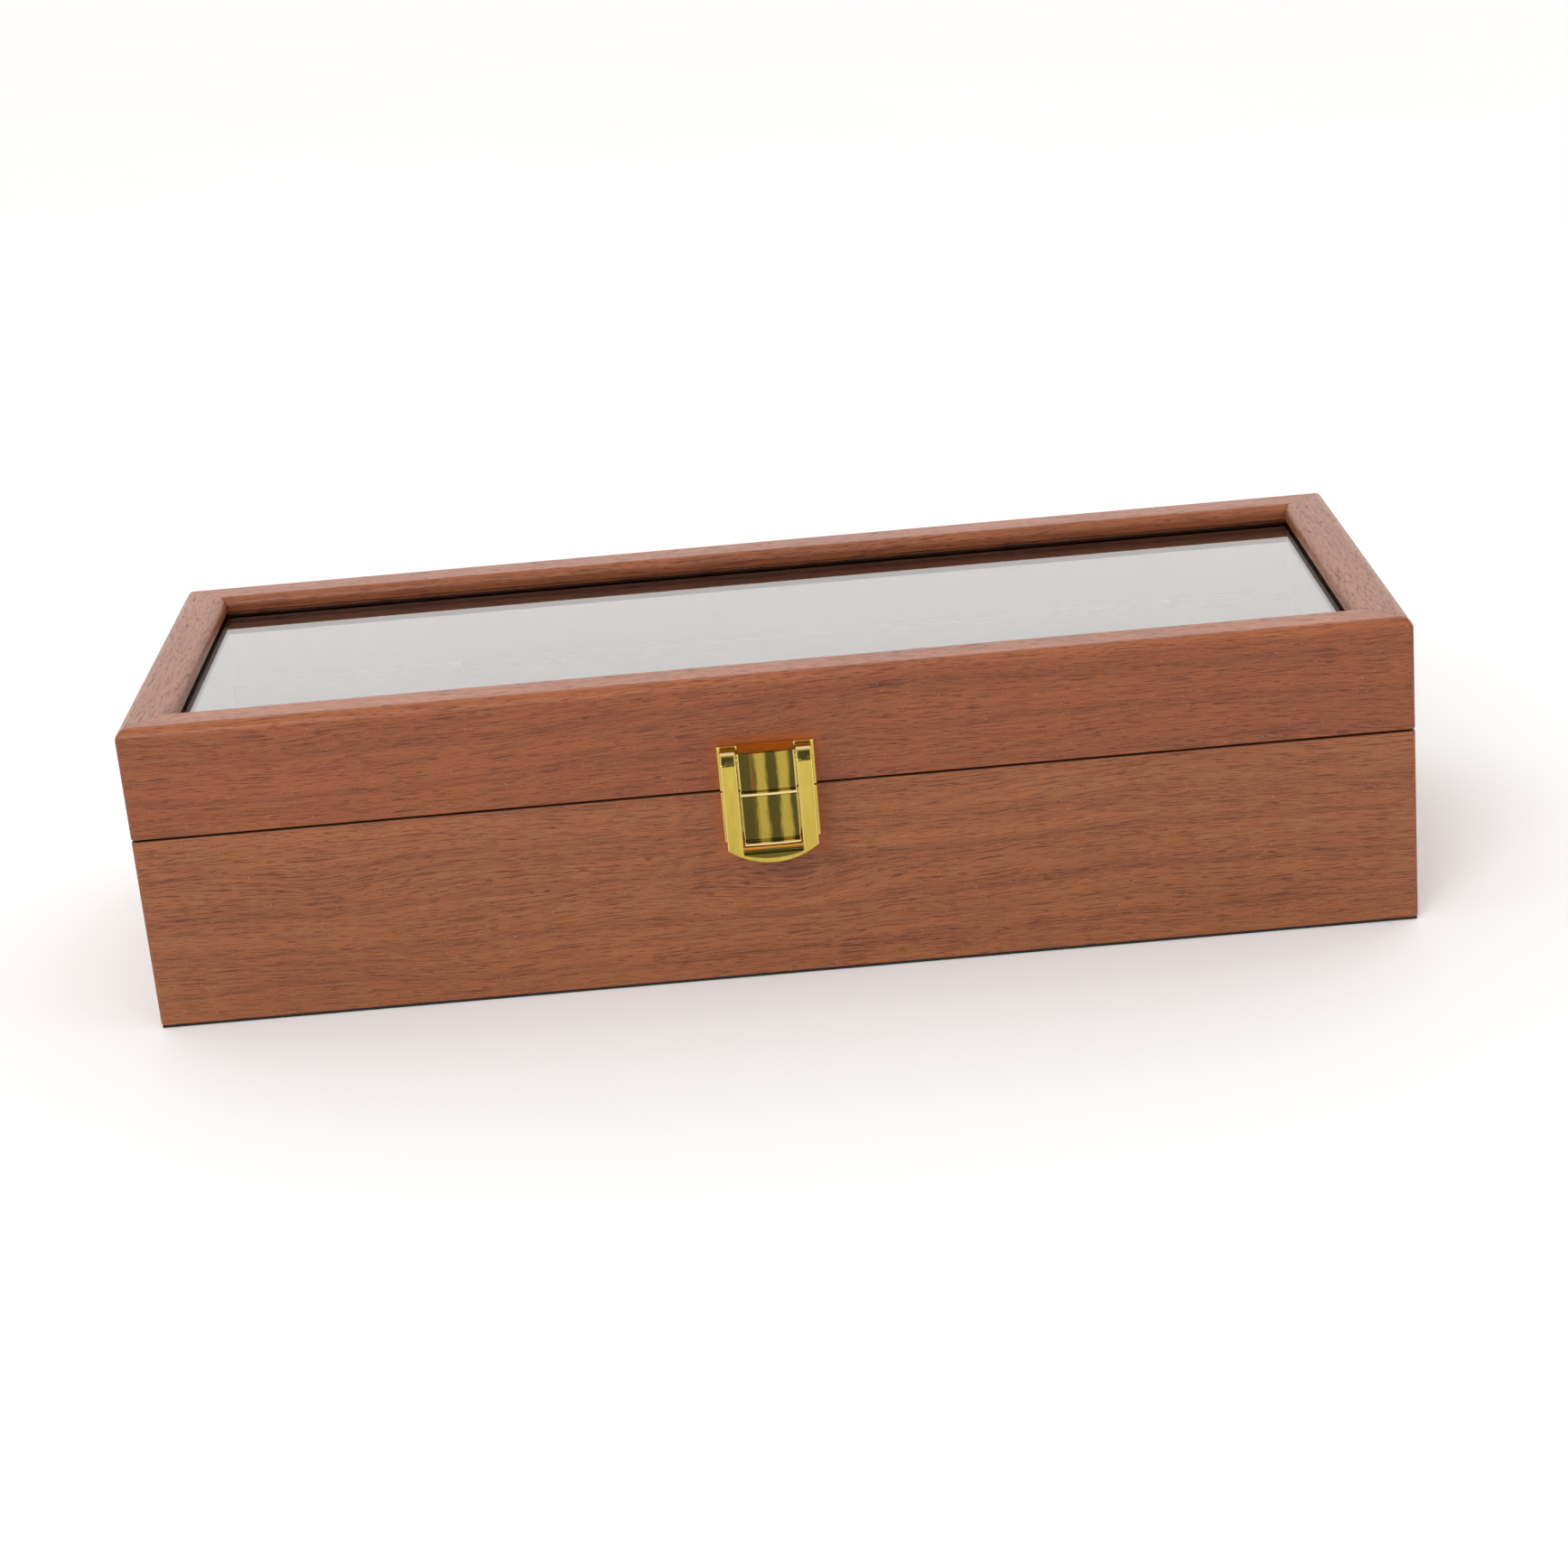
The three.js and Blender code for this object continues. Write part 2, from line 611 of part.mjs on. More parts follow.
/** Front outline of the lever, a U with a round lower edge, from X and height. */
function leverOutline() {
  const radius = (ARM_OUTER ** 2 + BAR_SAG ** 2) / (2 * BAR_SAG);
  const centreZ = BAR_SHOULDER - BAR_SAG + radius;
  const reach = Math.asin(ARM_OUTER / radius);
  const down = -Math.PI / 2;
  const shape = new THREE.Shape();
  shape.moveTo(-ARM_OUTER, ARM_HEAD_START);
  shape.absarc(0, centreZ, radius, down - reach, down + reach);
  shape.lineTo(ARM_OUTER, ARM_HEAD_START);
  shape.lineTo(ARM_INNER, ARM_HEAD_START);
  shape.lineTo(ARM_INNER, BAR_TOP);
  shape.lineTo(-ARM_INNER, BAR_TOP);
  shape.lineTo(-ARM_INNER, ARM_HEAD_START);
  return shape;
}

/** Side outline of an arm's rounded head, from distance out and height. */
function armHeadOutline() {
  const facet = THREE.MathUtils.degToRad(FACET_ANGLE);
  const shape = new THREE.Shape();
  shape.moveTo(ARM_FRONT, ARM_HEAD_START - OVERLAP);
  shape.lineTo(ARM_FRONT, FACET_END_Z);
  shape.absarc(PIVOT_PROUD, PIVOT_Z, PIVOT_HEAD_RADIUS, facet, 1.5 * Math.PI);
  shape.lineTo(ARM_BACK, ARM_HEAD_START);
  shape.lineTo(ARM_BACK, ARM_HEAD_START - OVERLAP);
  return shape;
}

function leverGeometry() {
  const options = { bevelEnabled: false, curveSegments: 2 * ARC_SEGMENTS };
  const front = new THREE.ExtrudeGeometry(leverOutline(), {
    ...options,
    depth: ARM_FRONT - ARM_BACK,
  });
  front.rotateX(Math.PI / 2);
  front.translate(LATCH_X, FRONT_Y - ARM_BACK, SEAM_Z);
  const heads = [-ARM_INNER, ARM_OUTER].map((x1) => {
    const head = new THREE.ExtrudeGeometry(armHeadOutline(), {
      ...options,
      depth: ARM_OUTER - ARM_INNER,
    });
    head.rotateX(Math.PI / 2);
    head.rotateZ(-Math.PI / 2);
    head.translate(LATCH_X + x1, FRONT_Y, SEAM_Z);
    return head;
  });
  const hook = latchBlock(
    -CATCH_HALF, CATCH_HALF, CATCH_BACK, CATCH_FRONT, CATCH_BOTTOM, CATCH_TOP,
  );
  return build(front, [...heads, hook], [latchBore(LATCH_PIN_HALF + LATCH_PIN_END_PLAY)]);
}

/** A nail pointing into the wood, its head's underside on the flange. */
function nailGeometry() {
  return turned([
    [0, -NAIL_LENGTH],
    [NAIL_RADIUS, -NAIL_LENGTH + NAIL_POINT],
    [NAIL_RADIUS, 0],
    [NAIL_HEAD_RADIUS, 0],
    [NAIL_HEAD_FLAT, NAIL_HEAD_HEIGHT],
    [0, NAIL_HEAD_HEIGHT],
  ]).rotateX(Math.PI);
}

function addLatch() {
  piece('clasp_lid_plate', lidPlateGeometry(), 'gold');
  piece('clasp_body_plate', casePlateGeometry(), 'gold');
  piece('clasp_lever', leverGeometry(), 'gold');
  const pinY = FRONT_Y - PIVOT_PROUD;
  const pinEnds = [LATCH_X - LATCH_PIN_HALF, LATCH_X + LATCH_PIN_HALF];
  piece('clasp_pin', rodX(LATCH_PIN_RADIUS, ...pinEnds, pinY, SEAM_Z + PIVOT_Z), 'gold');
  for (const [owner, z] of [['lid', LID_NAIL_Z], ['body', CASE_NAIL_Z]]) {
    for (const [side, sign] of [['left', -1], ['right', 1]]) {
      const nail = piece(`clasp_${owner}_nail_${side}`, nailGeometry(), 'gold');
      nail.position.set(LATCH_X + sign * NAIL_X, FRONT_Y - LATCH_FLANGE, SEAM_Z + z);
    }
  }
}

addCase();
addLining();
addDividers();
addCushions();
addLid();
addGlassStrips();
addHinges();
addLatch();

export default root;
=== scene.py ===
import math

import bmesh
import bpy
from mathutils import Matrix, Vector, noise


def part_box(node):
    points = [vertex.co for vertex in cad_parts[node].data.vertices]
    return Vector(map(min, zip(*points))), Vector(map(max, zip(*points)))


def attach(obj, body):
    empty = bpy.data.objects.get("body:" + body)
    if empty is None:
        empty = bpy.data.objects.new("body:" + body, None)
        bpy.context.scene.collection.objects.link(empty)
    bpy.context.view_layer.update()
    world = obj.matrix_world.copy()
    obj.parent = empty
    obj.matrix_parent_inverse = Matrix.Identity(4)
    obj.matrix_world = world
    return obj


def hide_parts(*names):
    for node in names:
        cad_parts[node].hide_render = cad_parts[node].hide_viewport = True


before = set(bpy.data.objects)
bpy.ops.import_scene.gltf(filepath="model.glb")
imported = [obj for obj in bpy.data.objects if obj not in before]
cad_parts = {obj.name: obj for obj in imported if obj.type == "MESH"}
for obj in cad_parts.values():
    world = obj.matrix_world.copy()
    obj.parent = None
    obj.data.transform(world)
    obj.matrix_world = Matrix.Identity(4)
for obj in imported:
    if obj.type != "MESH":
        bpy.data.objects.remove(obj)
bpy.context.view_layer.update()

MM = 0.001

# ---- Sizes that the frame doesn't state ------------------

EASED_EDGE = 0.4 * MM  # rounding along the joint line and the bottom edge
CORNER_ROUND = 1.3 * MM  # rounding of the four upright corners
OUTER_ROUND = 3.0 * MM  # outer top edge of the lid
INNER_ROUND = 2.5 * MM  # inner top edge of the lid
REVEAL_HEIGHT = 1.0 * MM  # shadow gap between that edge and the glass
REVEAL_DEPTH = 1.0 * MM
RIDGE_INSET = 1.5 * MM  # a low ridge inside the joint line closes it to light
RIDGE_HEIGHT = 0.35 * MM
GLUE_LINE = 0.05 * MM
ARC_STEPS = 10
CORNER_STEPS = 4  # steps from a mitre to the straight of the rail
RABBET_PLAY = 0.1 * MM  # gap round the bottom panel
PANE_PLAY = 0.4 * MM  # gap round the glass
PANE_GAP = 0.02 * MM  # gap over the glass
MORTISE_PLAY = 0.1 * MM
MORTISE_DEPTH = 1.3 * MM  # from the joint line into the wood
MORTISE_ABOVE = 0.5 * MM
STRIP_SOFT_EDGE = 1.4 * MM
STRIP_HARD_EDGE = 0.4 * MM

# The latch, in millimetres: x across, "proud" out from the front face, heights from the joint
# line.
PLATE_HALF = 11.95
PLATE_THICK = 1.0
HOUSING_HALF = 6.95
HOUSING_PROUD = 5.7
HOUSING_BULGE = 0.28  # its front is slightly barrel-shaped
LIP_HEIGHT = 0.9
UPPER_LIP_PROUD = 6.5
LOWER_LIP_PROUD = 6.9
EAR_PROUD = 1.7
EAR_HEIGHT = 3.8
BROW = 1.0  # the housing's top slopes down this much towards its front
ARM_INNER = 7.4
ARM_OUTER = 11.3
ARM_BACK = 5.3
ARM_FRONT = 8.0
ARM_HEAD_START = 6.0
PIVOT_PROUD = 4.6
PIVOT_HEIGHT = 9.4
HEAD_RADIUS = 2.6
FACET_ANGLE = 50.0
FACET_END = 9.2
LATCH_BORE = 0.75
BAR_TOP = -14.6
BAR_SHOULDER = -13.2
BAR_SAG = 3.9
LOWER_LIP_RAISE = 0.7  # the lower lip stands this much above its plate's lower edge
CUT_PAST = 0.02  # a cutter reaches this much past what it cuts
HOOK_HALF = ARM_INNER
HOOK_BACK = 2.6
HOOK_FRONT = 6.6
HOOK_TOP = -13.1
HOOK_BOTTOM = -15.4
NAIL_X = 9.3
NAIL_HOLE = 0.6
NAIL_SHANK = 0.5
NAIL_RIM = 0.12  # height of a nail head's straight rim
PIN_PLAY = 0.05
PIN_ROUND = 0.15
LATCH_EDGE = 0.2  # rounding of the latch's edges

NORMAL_WEIGHT = 80
WELD_DISTANCE = 0.002 * MM  # points closer than this are one

# ---- Small helpers ---------------------------------------


def low(node):
    return Vector(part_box(node)[0])


def high(node):
    return Vector(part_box(node)[1])


def middle(node):
    return (low(node) + high(node)) / 2


def new_object(name, mesh):
    piece = bpy.data.objects.new(name, mesh)
    bpy.context.scene.collection.objects.link(piece)
    return piece


def mesh_from(bm, name):
    mesh = bpy.data.meshes.new(name)
    bmesh.ops.recalc_face_normals(bm, faces=bm.faces)
    bm.to_mesh(mesh)
    bm.free()
    return mesh


def solid_from(bm, name):
    return new_object(name, mesh_from(bm, name))


def block(corner0, corner1):
    """A box between two corners, still open to editing."""
    bm = bmesh.new()
    size = corner1 - corner0
    place = Matrix.Translation((corner0 + corner1) / 2) @ Matrix.Diagonal((*size, 1.0))
    bmesh.ops.create_cube(bm, size=1.0, matrix=place)
    return bm


def bridge(bm, sections):
    """Walls between neighbouring closed sections with the same number of points."""
    for one, two in zip(sections, sections[1:]):
        for i in range(len(one)):
            j = (i + 1) % len(one)
            bm.faces.new((one[i], one[j], two[j], two[i]))


def numbered(stem):
    """The nodes stem_1, stem_2 and so on, in order."""
    names = (f"{stem}_{i + 1}" for i in range(len(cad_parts)))
    return [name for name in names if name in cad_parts]


def smooth(mesh, degrees=35):
    mesh.shade_smooth()
    mesh.set_sharp_from_angle(angle=math.radians(degrees))


def apply_modifiers(piece):
    """The piece's mesh becomes what its modifiers make of it."""
    graph = bpy.context.evaluated_depsgraph_get()
    mesh = bpy.data.meshes.new_from_object(piece.evaluated_get(graph))
    piece.modifiers.clear()
    old = piece.data
    piece.data = mesh
    if old.users == 0:
        bpy.data.meshes.remove(old)


def bevel(piece, width, segments=3, degrees=30):
    modifier = piece.modifiers.new("bevel", "BEVEL")
    modifier.width = width
    modifier.segments = segments
    modifier.limit_method = "ANGLE"
    modifier.angle_limit = math.radians(degrees)
    modifier.miter_outer = "MITER_ARC"
    apply_modifiers(piece)


def even_normals(piece):
    """Flat faces shade flat beside narrow rounded edges."""
    smooth(piece.data)
    modifier = piece.modifiers.new("even_normals", "WEIGHTED_NORMAL")
    modifier.keep_sharp = True
    modifier.weight = NORMAL_WEIGHT


def finish_piece(piece, body, nodes, material):
    """Give a piece its material, hang it on what it rides on, and hide the CAD parts it stands for.
    """
    piece.data.materials.clear()
    piece.data.materials.append(material)
    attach(piece, body)
    if nodes:
        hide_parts(*nodes)
    return piece


HALF_X = -low("lid_left_rail").x
HALF_Y = -low("lid_front_rail").y
FRONT_Y = -HALF_Y
SEAM_Z = middle("hinge_pin_left").z
LATCH_X = middle("clasp_pin").x

# ---- Shader building -------------------------------------


class Nodes:
    """The node tree of a material or a world. Most methods add a node and return its output."""

    def __init__(self, owner):
        owner.use_nodes = True
        self.tree = owner.node_tree
        self.tree.nodes.clear()

    def plug(self, socket, value):
        if isinstance(value, bpy.types.NodeSocket):
            self.tree.links.new(value, socket)
        elif value is not None:
            socket.default_value = value

    def node(self, kind, inputs, **settings):
        node = self.tree.nodes.new(kind)
        for name, value in settings.items():
            setattr(node, name, value)
        for key, value in inputs.items():
            self.plug(node.inputs[key], value)
        return node

    def place(self):
        """The point on the piece in millimetres, as (x, y, z) sockets."""
        here = self.node("ShaderNodeTexCoord", {}).outputs["Object"]
        scaled = self.node(
            "ShaderNodeVectorMath", {0: here, "Scale": 1 / MM}, operation="SCALE"
        ).outputs[0]
        split = self.node("ShaderNodeSeparateXYZ", {0: scaled})
        return split.outputs[0], split.outputs[1], split.outputs[2]

    def vector(self, x, y, z):
        return self.node("ShaderNodeCombineXYZ", {0: x, 1: y, 2: z}).outputs[0]

    def math(self, operation, a, b=0.0, c=0.0):
        return self.node("ShaderNodeMath", {0: a, 1: b, 2: c}, operation=operation).outputs[0]

    def add(self, a, b):
        return self.math("ADD", a, b)

    def mul(self, a, b):
        return self.math("MULTIPLY", a, b)

    def noise(self, vector, detail=2.0, roughness=0.5, scale=1.0):
        inputs = {"Vector": vector, "Scale": scale, "Detail": detail, "Roughness": roughness}
        return self.node("ShaderNodeTexNoise", inputs, noise_dimensions="3D").outputs[0]

    def span(self, value, from0, from1, to0=0.0, to1=1.0, soft=False):
        inputs = {0: value, 1: from0, 2: from1, 3: to0, 4: to1}
        kind = "SMOOTHSTEP" if soft else "LINEAR"
        node = self.node("ShaderNodeMapRange", inputs, interpolation_type=kind, clamp=True)
        return node.outputs[0]

    def mix(self, factor, a, b, blend="MIX"):
        node = self.node("ShaderNodeMix", {}, data_type="RGBA", blend_type=blend)
        self.plug(node.inputs[0], factor)
        self.plug(node.inputs[6], a)
        self.plug(node.inputs[7], b)
        return node.outputs[2]

    def bump(self, height, distance, strength):
        inputs = {"Height": height, "Distance": distance, "Strength": strength}
        return self.node("ShaderNodeBump", inputs).outputs[0]


class Shader(Nodes):
    """One procedural material."""

    def __init__(self, name):
        self.material = bpy.data.materials.new(name)
        super().__init__(self.material)
        self.bsdf = self.tree.nodes.new("ShaderNodeBsdfPrincipled")
        self.output = self.tree.nodes.new("ShaderNodeOutputMaterial")
        self.tree.links.new(self.bsdf.outputs[0], self.output.inputs["Surface"])

    def set(self, **values):
        """Plain values, and links, on the Principled node's own sockets."""
        for name, value in values.items():
            self.plug(self.bsdf.inputs[name.replace("_", " ")], value)


def rgb(red, green, blue):
    return (red, green, blue, 1.0)


# ---- Materials -------------------------------------------

BOARD_THICKNESS = (high("base_back_board").y - low("base_back_board").y) / MM
WALNUT = rgb(0.250, 0.076, 0.026)
WALNUT_RED = (0.97, 0.86, 0.755)
WALNUT_BROWN = (1.06, 1.09, 1.03)
LINT_COLOUR = rgb(0.62, 0.42, 0.32)
JOINT_SHADE = rgb(0.02, 0.006, 0.002)
# colour of the painted shade on the case's inner faces
INSIDE_SHADE = rgb(0.014, 0.012, 0.012)
GLOW_COLOUR = rgb(0.42, 0.085, 0.010)

# The grain, in millimetres and in shares of the wood's tone.
SEED_STEP = 517.0  # one board's figure starts this far from the next one's
SWAY = 12.0
FLUTTER = 1.0
RING_WIDTH = 10.5
PORE_TONE = 0.56
# heights over which the top of a rail is painted paler, a painted highlight
TOP_HIGHLIGHT_SPAN = (77.2, 79.2)
FACE_DEPTH = 1.6
JOINT_HALF = 0.34
KNOT_RING_PITCH = 6.5
KNOT_RING_DEPTH = 0.13
KNOT_EYE_DEPTH = 0.10
GLOW_HALF_X = 12.0
GLOW_HALF_Z = 14.5
GLOW_MIDDLE_Z = 48.5
GLOW_REACH = 3.2


def between(s, value, start, stop, soft):
    """One inside a span, falling to nothing over the soft distance at each side."""
    rise = s.span(value, start - soft, start + soft, soft=True)
    fall = s.span(value, stop - soft, stop + soft, 1.0, 0.0, soft=True)
    return s.mul(rise, fall)


def knot_field(s, run, z, knot):
    """How far each point is from the knot, squared and in half sizes, and how near its eye."""
    at_run, at_up, half_run, half_up = knot
    left = s.mul(s.add(run, -at_run), 1 / half_run)
    over = s.mul(s.add(z, -at_up), 1 / half_up)
    away = s.add(s.mul(left, left), s.mul(over, over))
    return away, s.math("EXPONENT", s.mul(away, -1.0))


def knot_tone(s, tone, away, eye, flutter):
    """Soft rings round the knot, fading outwards, and a slightly darker eye."""
    rings = s.math("COSINE", s.mul(s.add(away, s.mul(flutter, 1.2)), KNOT_RING_PITCH))
    fade = s.math("EXPONENT", s.mul(away, -0.5))
    tone = s.mul(tone, s.add(1.0, s.mul(s.mul(rings, fade), KNOT_RING_DEPTH)))
    return s.mul(tone, s.add(1.0, s.mul(eye, -KNOT_EYE_DEPTH)))


def latch_glow(s, wood, x, z, face):
    """Warm light that the latch's plating throws on the wood close to it."""
    beside = s.add(s.math("ABSOLUTE", s.add(x, -LATCH_X / MM)), -GLOW_HALF_X)
    beyond = s.add(s.math("ABSOLUTE", s.add(z, -GLOW_MIDDLE_Z)), -GLOW_HALF_Z)
    off_latch = s.math("MAXIMUM", beside, beyond)
    glow = s.span(off_latch, 0.0, GLOW_REACH, 0.4, 0.0, soft=True)
    return s.mix(s.mul(glow, face), wood, GLOW_COLOUR)


def walnut(name, along, seed, hue, knot=None, top_highlight=1.0, latched=False, shaded_inside=False):
    """
    Satin walnut, worked out in millimetres along the board, up it and through it. Every layer
    is long along the board and short across it: broad streaks, growth lines, fibres, and the
    short dark pores that mark walnut. A knot is its place along and up, and its half length
    and half height; the grain parts round it. The top highlight is how much paler the top of a
    rail is painted, a painted highlight where it catches the light. The plating of the latch
    throws a little warm light on the wood round it, painted into the wood's colour. The inner
    faces of the case, which show just above the lining, are painted nearly black as shade.
    """
    s = Shader(name)
    x, y, z = s.place()
    run, through = (x, y) if along == "x" else (y, x)
    depth = (HALF_Y if along == "x" else HALF_X) / MM
    shifted = s.add(run, seed * SEED_STEP)
    up = z
    if knot:
        away, eye = knot_field(s, run, z, knot)
        up = s.add(up, s.mul(s.mul(eye, s.add(z, -knot[1])), -0.6))

    def grain(length, width, detail=2.0, roughness=0.5):
        """Noise with marks of about this length and width, along the wandering grain."""
        across = s.mul(up, 1 / width)
        place = s.vector(s.mul(shifted, 1 / length), across, s.mul(through, 1 / width))
        return s.noise(place, detail, roughness)

    sway = grain(130.0, 40.0)
    flutter = grain(30.0, 9.0)
    up = s.add(up, s.add(s.mul(s.add(sway, -0.5), SWAY), s.mul(s.add(flutter, -0.5), FLUTTER)))
    streaks = grain(140.0, 5.0, 3.0, 0.6)
    growth = grain(90.0, 1.1, 2.0)
    fibres = grain(30.0, 0.30, 3.0, 0.7)
    pores = grain(3.4, 0.22, 0.0)
    dashes = grain(12.0, 0.27, 0.0)
    clouds = grain(40.0, 14.0, 2.0)
    ring = s.math("FRACT", s.add(s.mul(up, 1 / RING_WIDTH), s.mul(clouds, 0.5)))
    shimmer = s.noise(s.vector(s.mul(shifted, 1 / 6), s.mul(up, 1 / 2.5), through), 2.0)

    tone = s.span(streaks, 0.30, 0.70, 0.92, 1.08)
    tone = s.mul(tone, s.span(growth, 0.30, 0.70, 0.965, 1.035))
    tone = s.mul(tone, s.span(fibres, 0.30, 0.70, 0.91, 1.10))
    tone = s.mul(tone, s.span(clouds, 0.30, 0.70, 0.94, 1.06))
    tone = s.mul(tone, s.span(shimmer, 0.30, 0.70, 0.97, 1.03))
    tone = s.mul(tone, s.span(ring, 0.0, 0.35, 0.85, 1.03, soft=True))
    crowd = s.mul(s.add(streaks, -0.5), -0.12)
    open_pore = s.span(s.add(pores, crowd), 0.63, 0.69, soft=True)
    long_pore = s.span(s.add(dashes, crowd), 0.62, 0.68, soft=True)
    tone = s.mul(tone, s.span(open_pore, 0.0, 1.0, 1.0, PORE_TONE))
    tone = s.mul(tone, s.span(long_pore, 0.0, 1.0, 1.0, PORE_TONE))
    if knot:
        tone = knot_tone(s, tone, away, eye, flutter)
    # Painted highlight: the top of a rail is made paler where it catches the light.
    tone = s.mul(tone, s.span(z, *TOP_HIGHLIGHT_SPAN, 1.0, top_highlight, soft=True))

    # Darker wood is redder: blue and green fall off faster than red.
    red = s.math("POWER", tone, 0.85)
    green = s.math("POWER", tone, 1.05)
    blue = s.math("POWER", tone, 1.12)
    shade = s.vector(s.mul(red, hue[0]), s.mul(green, hue[1]), s.mul(blue, hue[2]))
    wood = s.mix(1.0, WALNUT, shade, "MULTIPLY")
    specks = s.noise(s.vector(s.mul(shifted, 2.4), s.mul(z, 3.4), s.mul(through, 3.4)), 0.0)
    lint = s.span(specks, 0.80, 0.84, soft=True)
    wood = s.mix(s.mul(lint, 0.35), wood, LINT_COLOUR)

    deep = s.math("ABSOLUTE", through)
    face = s.span(deep, depth - FACE_DEPTH, depth - FACE_DEPTH + 0.3, soft=True)
    if latched:
        wood = latch_glow(s, wood, x, z, face)
    joint = between(s, z, SEAM_Z / MM - JOINT_HALF, SEAM_Z / MM + JOINT_HALF, 0.08)
    wood = s.mix(s.mul(s.mul(joint, face), 0.8), wood, JOINT_SHADE)
    # Painted shade: the case's inner faces are darkened nearly to black.
    if shaded_inside:
        inside = depth - BOARD_THICKNESS
        inside_shade = s.span(deep, inside + 0.25, inside + 0.6, 0.93, 0.0, soft=True)
        wood = s.mix(inside_shade, wood, INSIDE_SHADE)

    relief = s.add(s.mul(fibres, 0.35), s.add(s.mul(open_pore, -0.8), s.mul(long_pore, -0.6)))
    gloss = s.add(s.span(fibres, 0.3, 0.7, 0.40, 0.52), s.mul(open_pore, 0.2))
    s.set(Base_Color=wood, Roughness=gloss)
    s.set(Specular_IOR_Level=0.36, Coat_Weight=0.12, Coat_Roughness=0.25)
    s.set(Normal=s.bump(relief, 0.05 * MM, 0.6))
    return s.material


# colour of the painted highlights on the plating's lips, edges and rims
GOLD_HIGHLIGHT = rgb(0.86, 0.66, 0.30)
GOLD_BRIGHT = rgb(0.61, 0.46, 0.092)
GOLD_DEEP = rgb(0.53, 0.385, 0.065)
# gold between the painted dark reflections on the bowed housings
GOLD_REFLECTION_BAND = rgb(0.37, 0.275, 0.045)
GOLD_SHADE = rgb(0.066, 0.054, 0.014)
# colour of the painted reflection of the wood in the plating
GOLD_WOOD_REFLECTION = rgb(0.66, 0.20, 0.022)
# colour of the painted reflection of the wood on the housing's top ledge
GOLD_LEDGE_REFLECTION = rgb(0.98, 0.55, 0.06)

# Where the painted reflections, highlights and shade fall on the plating, in the latch's own
# millimetres.
BAND_PITCH = 5.6
BAND_SHIFT = 1.15
BOWED_ACROSS = (-6.9, 6.9)
DARK_SIDE = (-4.6, -3.4)
SLIVER = (-4.1, -3.5)
UPPER_LIP = (0.0, 0.75)
LOWER_LIP = (-13.0, -12.25)
HOUSING_EDGE = (6.75, 7.1)
FACET_UP = (8.9, 11.1)
FACET_OUT = (7.85, 10.9)
INNER_EDGE = (7.3, 7.65)
OUTER_EDGE = (11.0, 11.4)
HOLLOW_CURVE = 0.021
HOLLOW_DEPTH = 1.25


def polished_gold(name, rough):
    """Plating with faint upright polishing lines, and the latch's own across and up sockets."""
    s = Shader(name)
    x, y, z = s.place()
    across = s.add(x, -LATCH_X / MM)
    up = s.add(z, -SEAM_Z / MM)
    proud = s.add(s.mul(y, -1.0), FRONT_Y / MM)
    patch = s.noise(s.vector(s.mul(x, 0.9), s.mul(y, 0.5), s.mul(z, 0.16)), 3.0)
    colour = s.mix(s.span(patch, 0.3, 0.7), GOLD_DEEP, GOLD_BRIGHT)
    hair = s.noise(s.vector(s.mul(x, 9.0), s.mul(y, 9.0), s.mul(z, 0.5)), 2.0)
    s.set(Metallic=1.0, Roughness=s.span(hair, 0.3, 0.7, rough * 0.75, rough * 1.25))
    s.set(Normal=s.bump(hair, 0.002 * MM, 0.4))
    return s, colour, across, up, proud


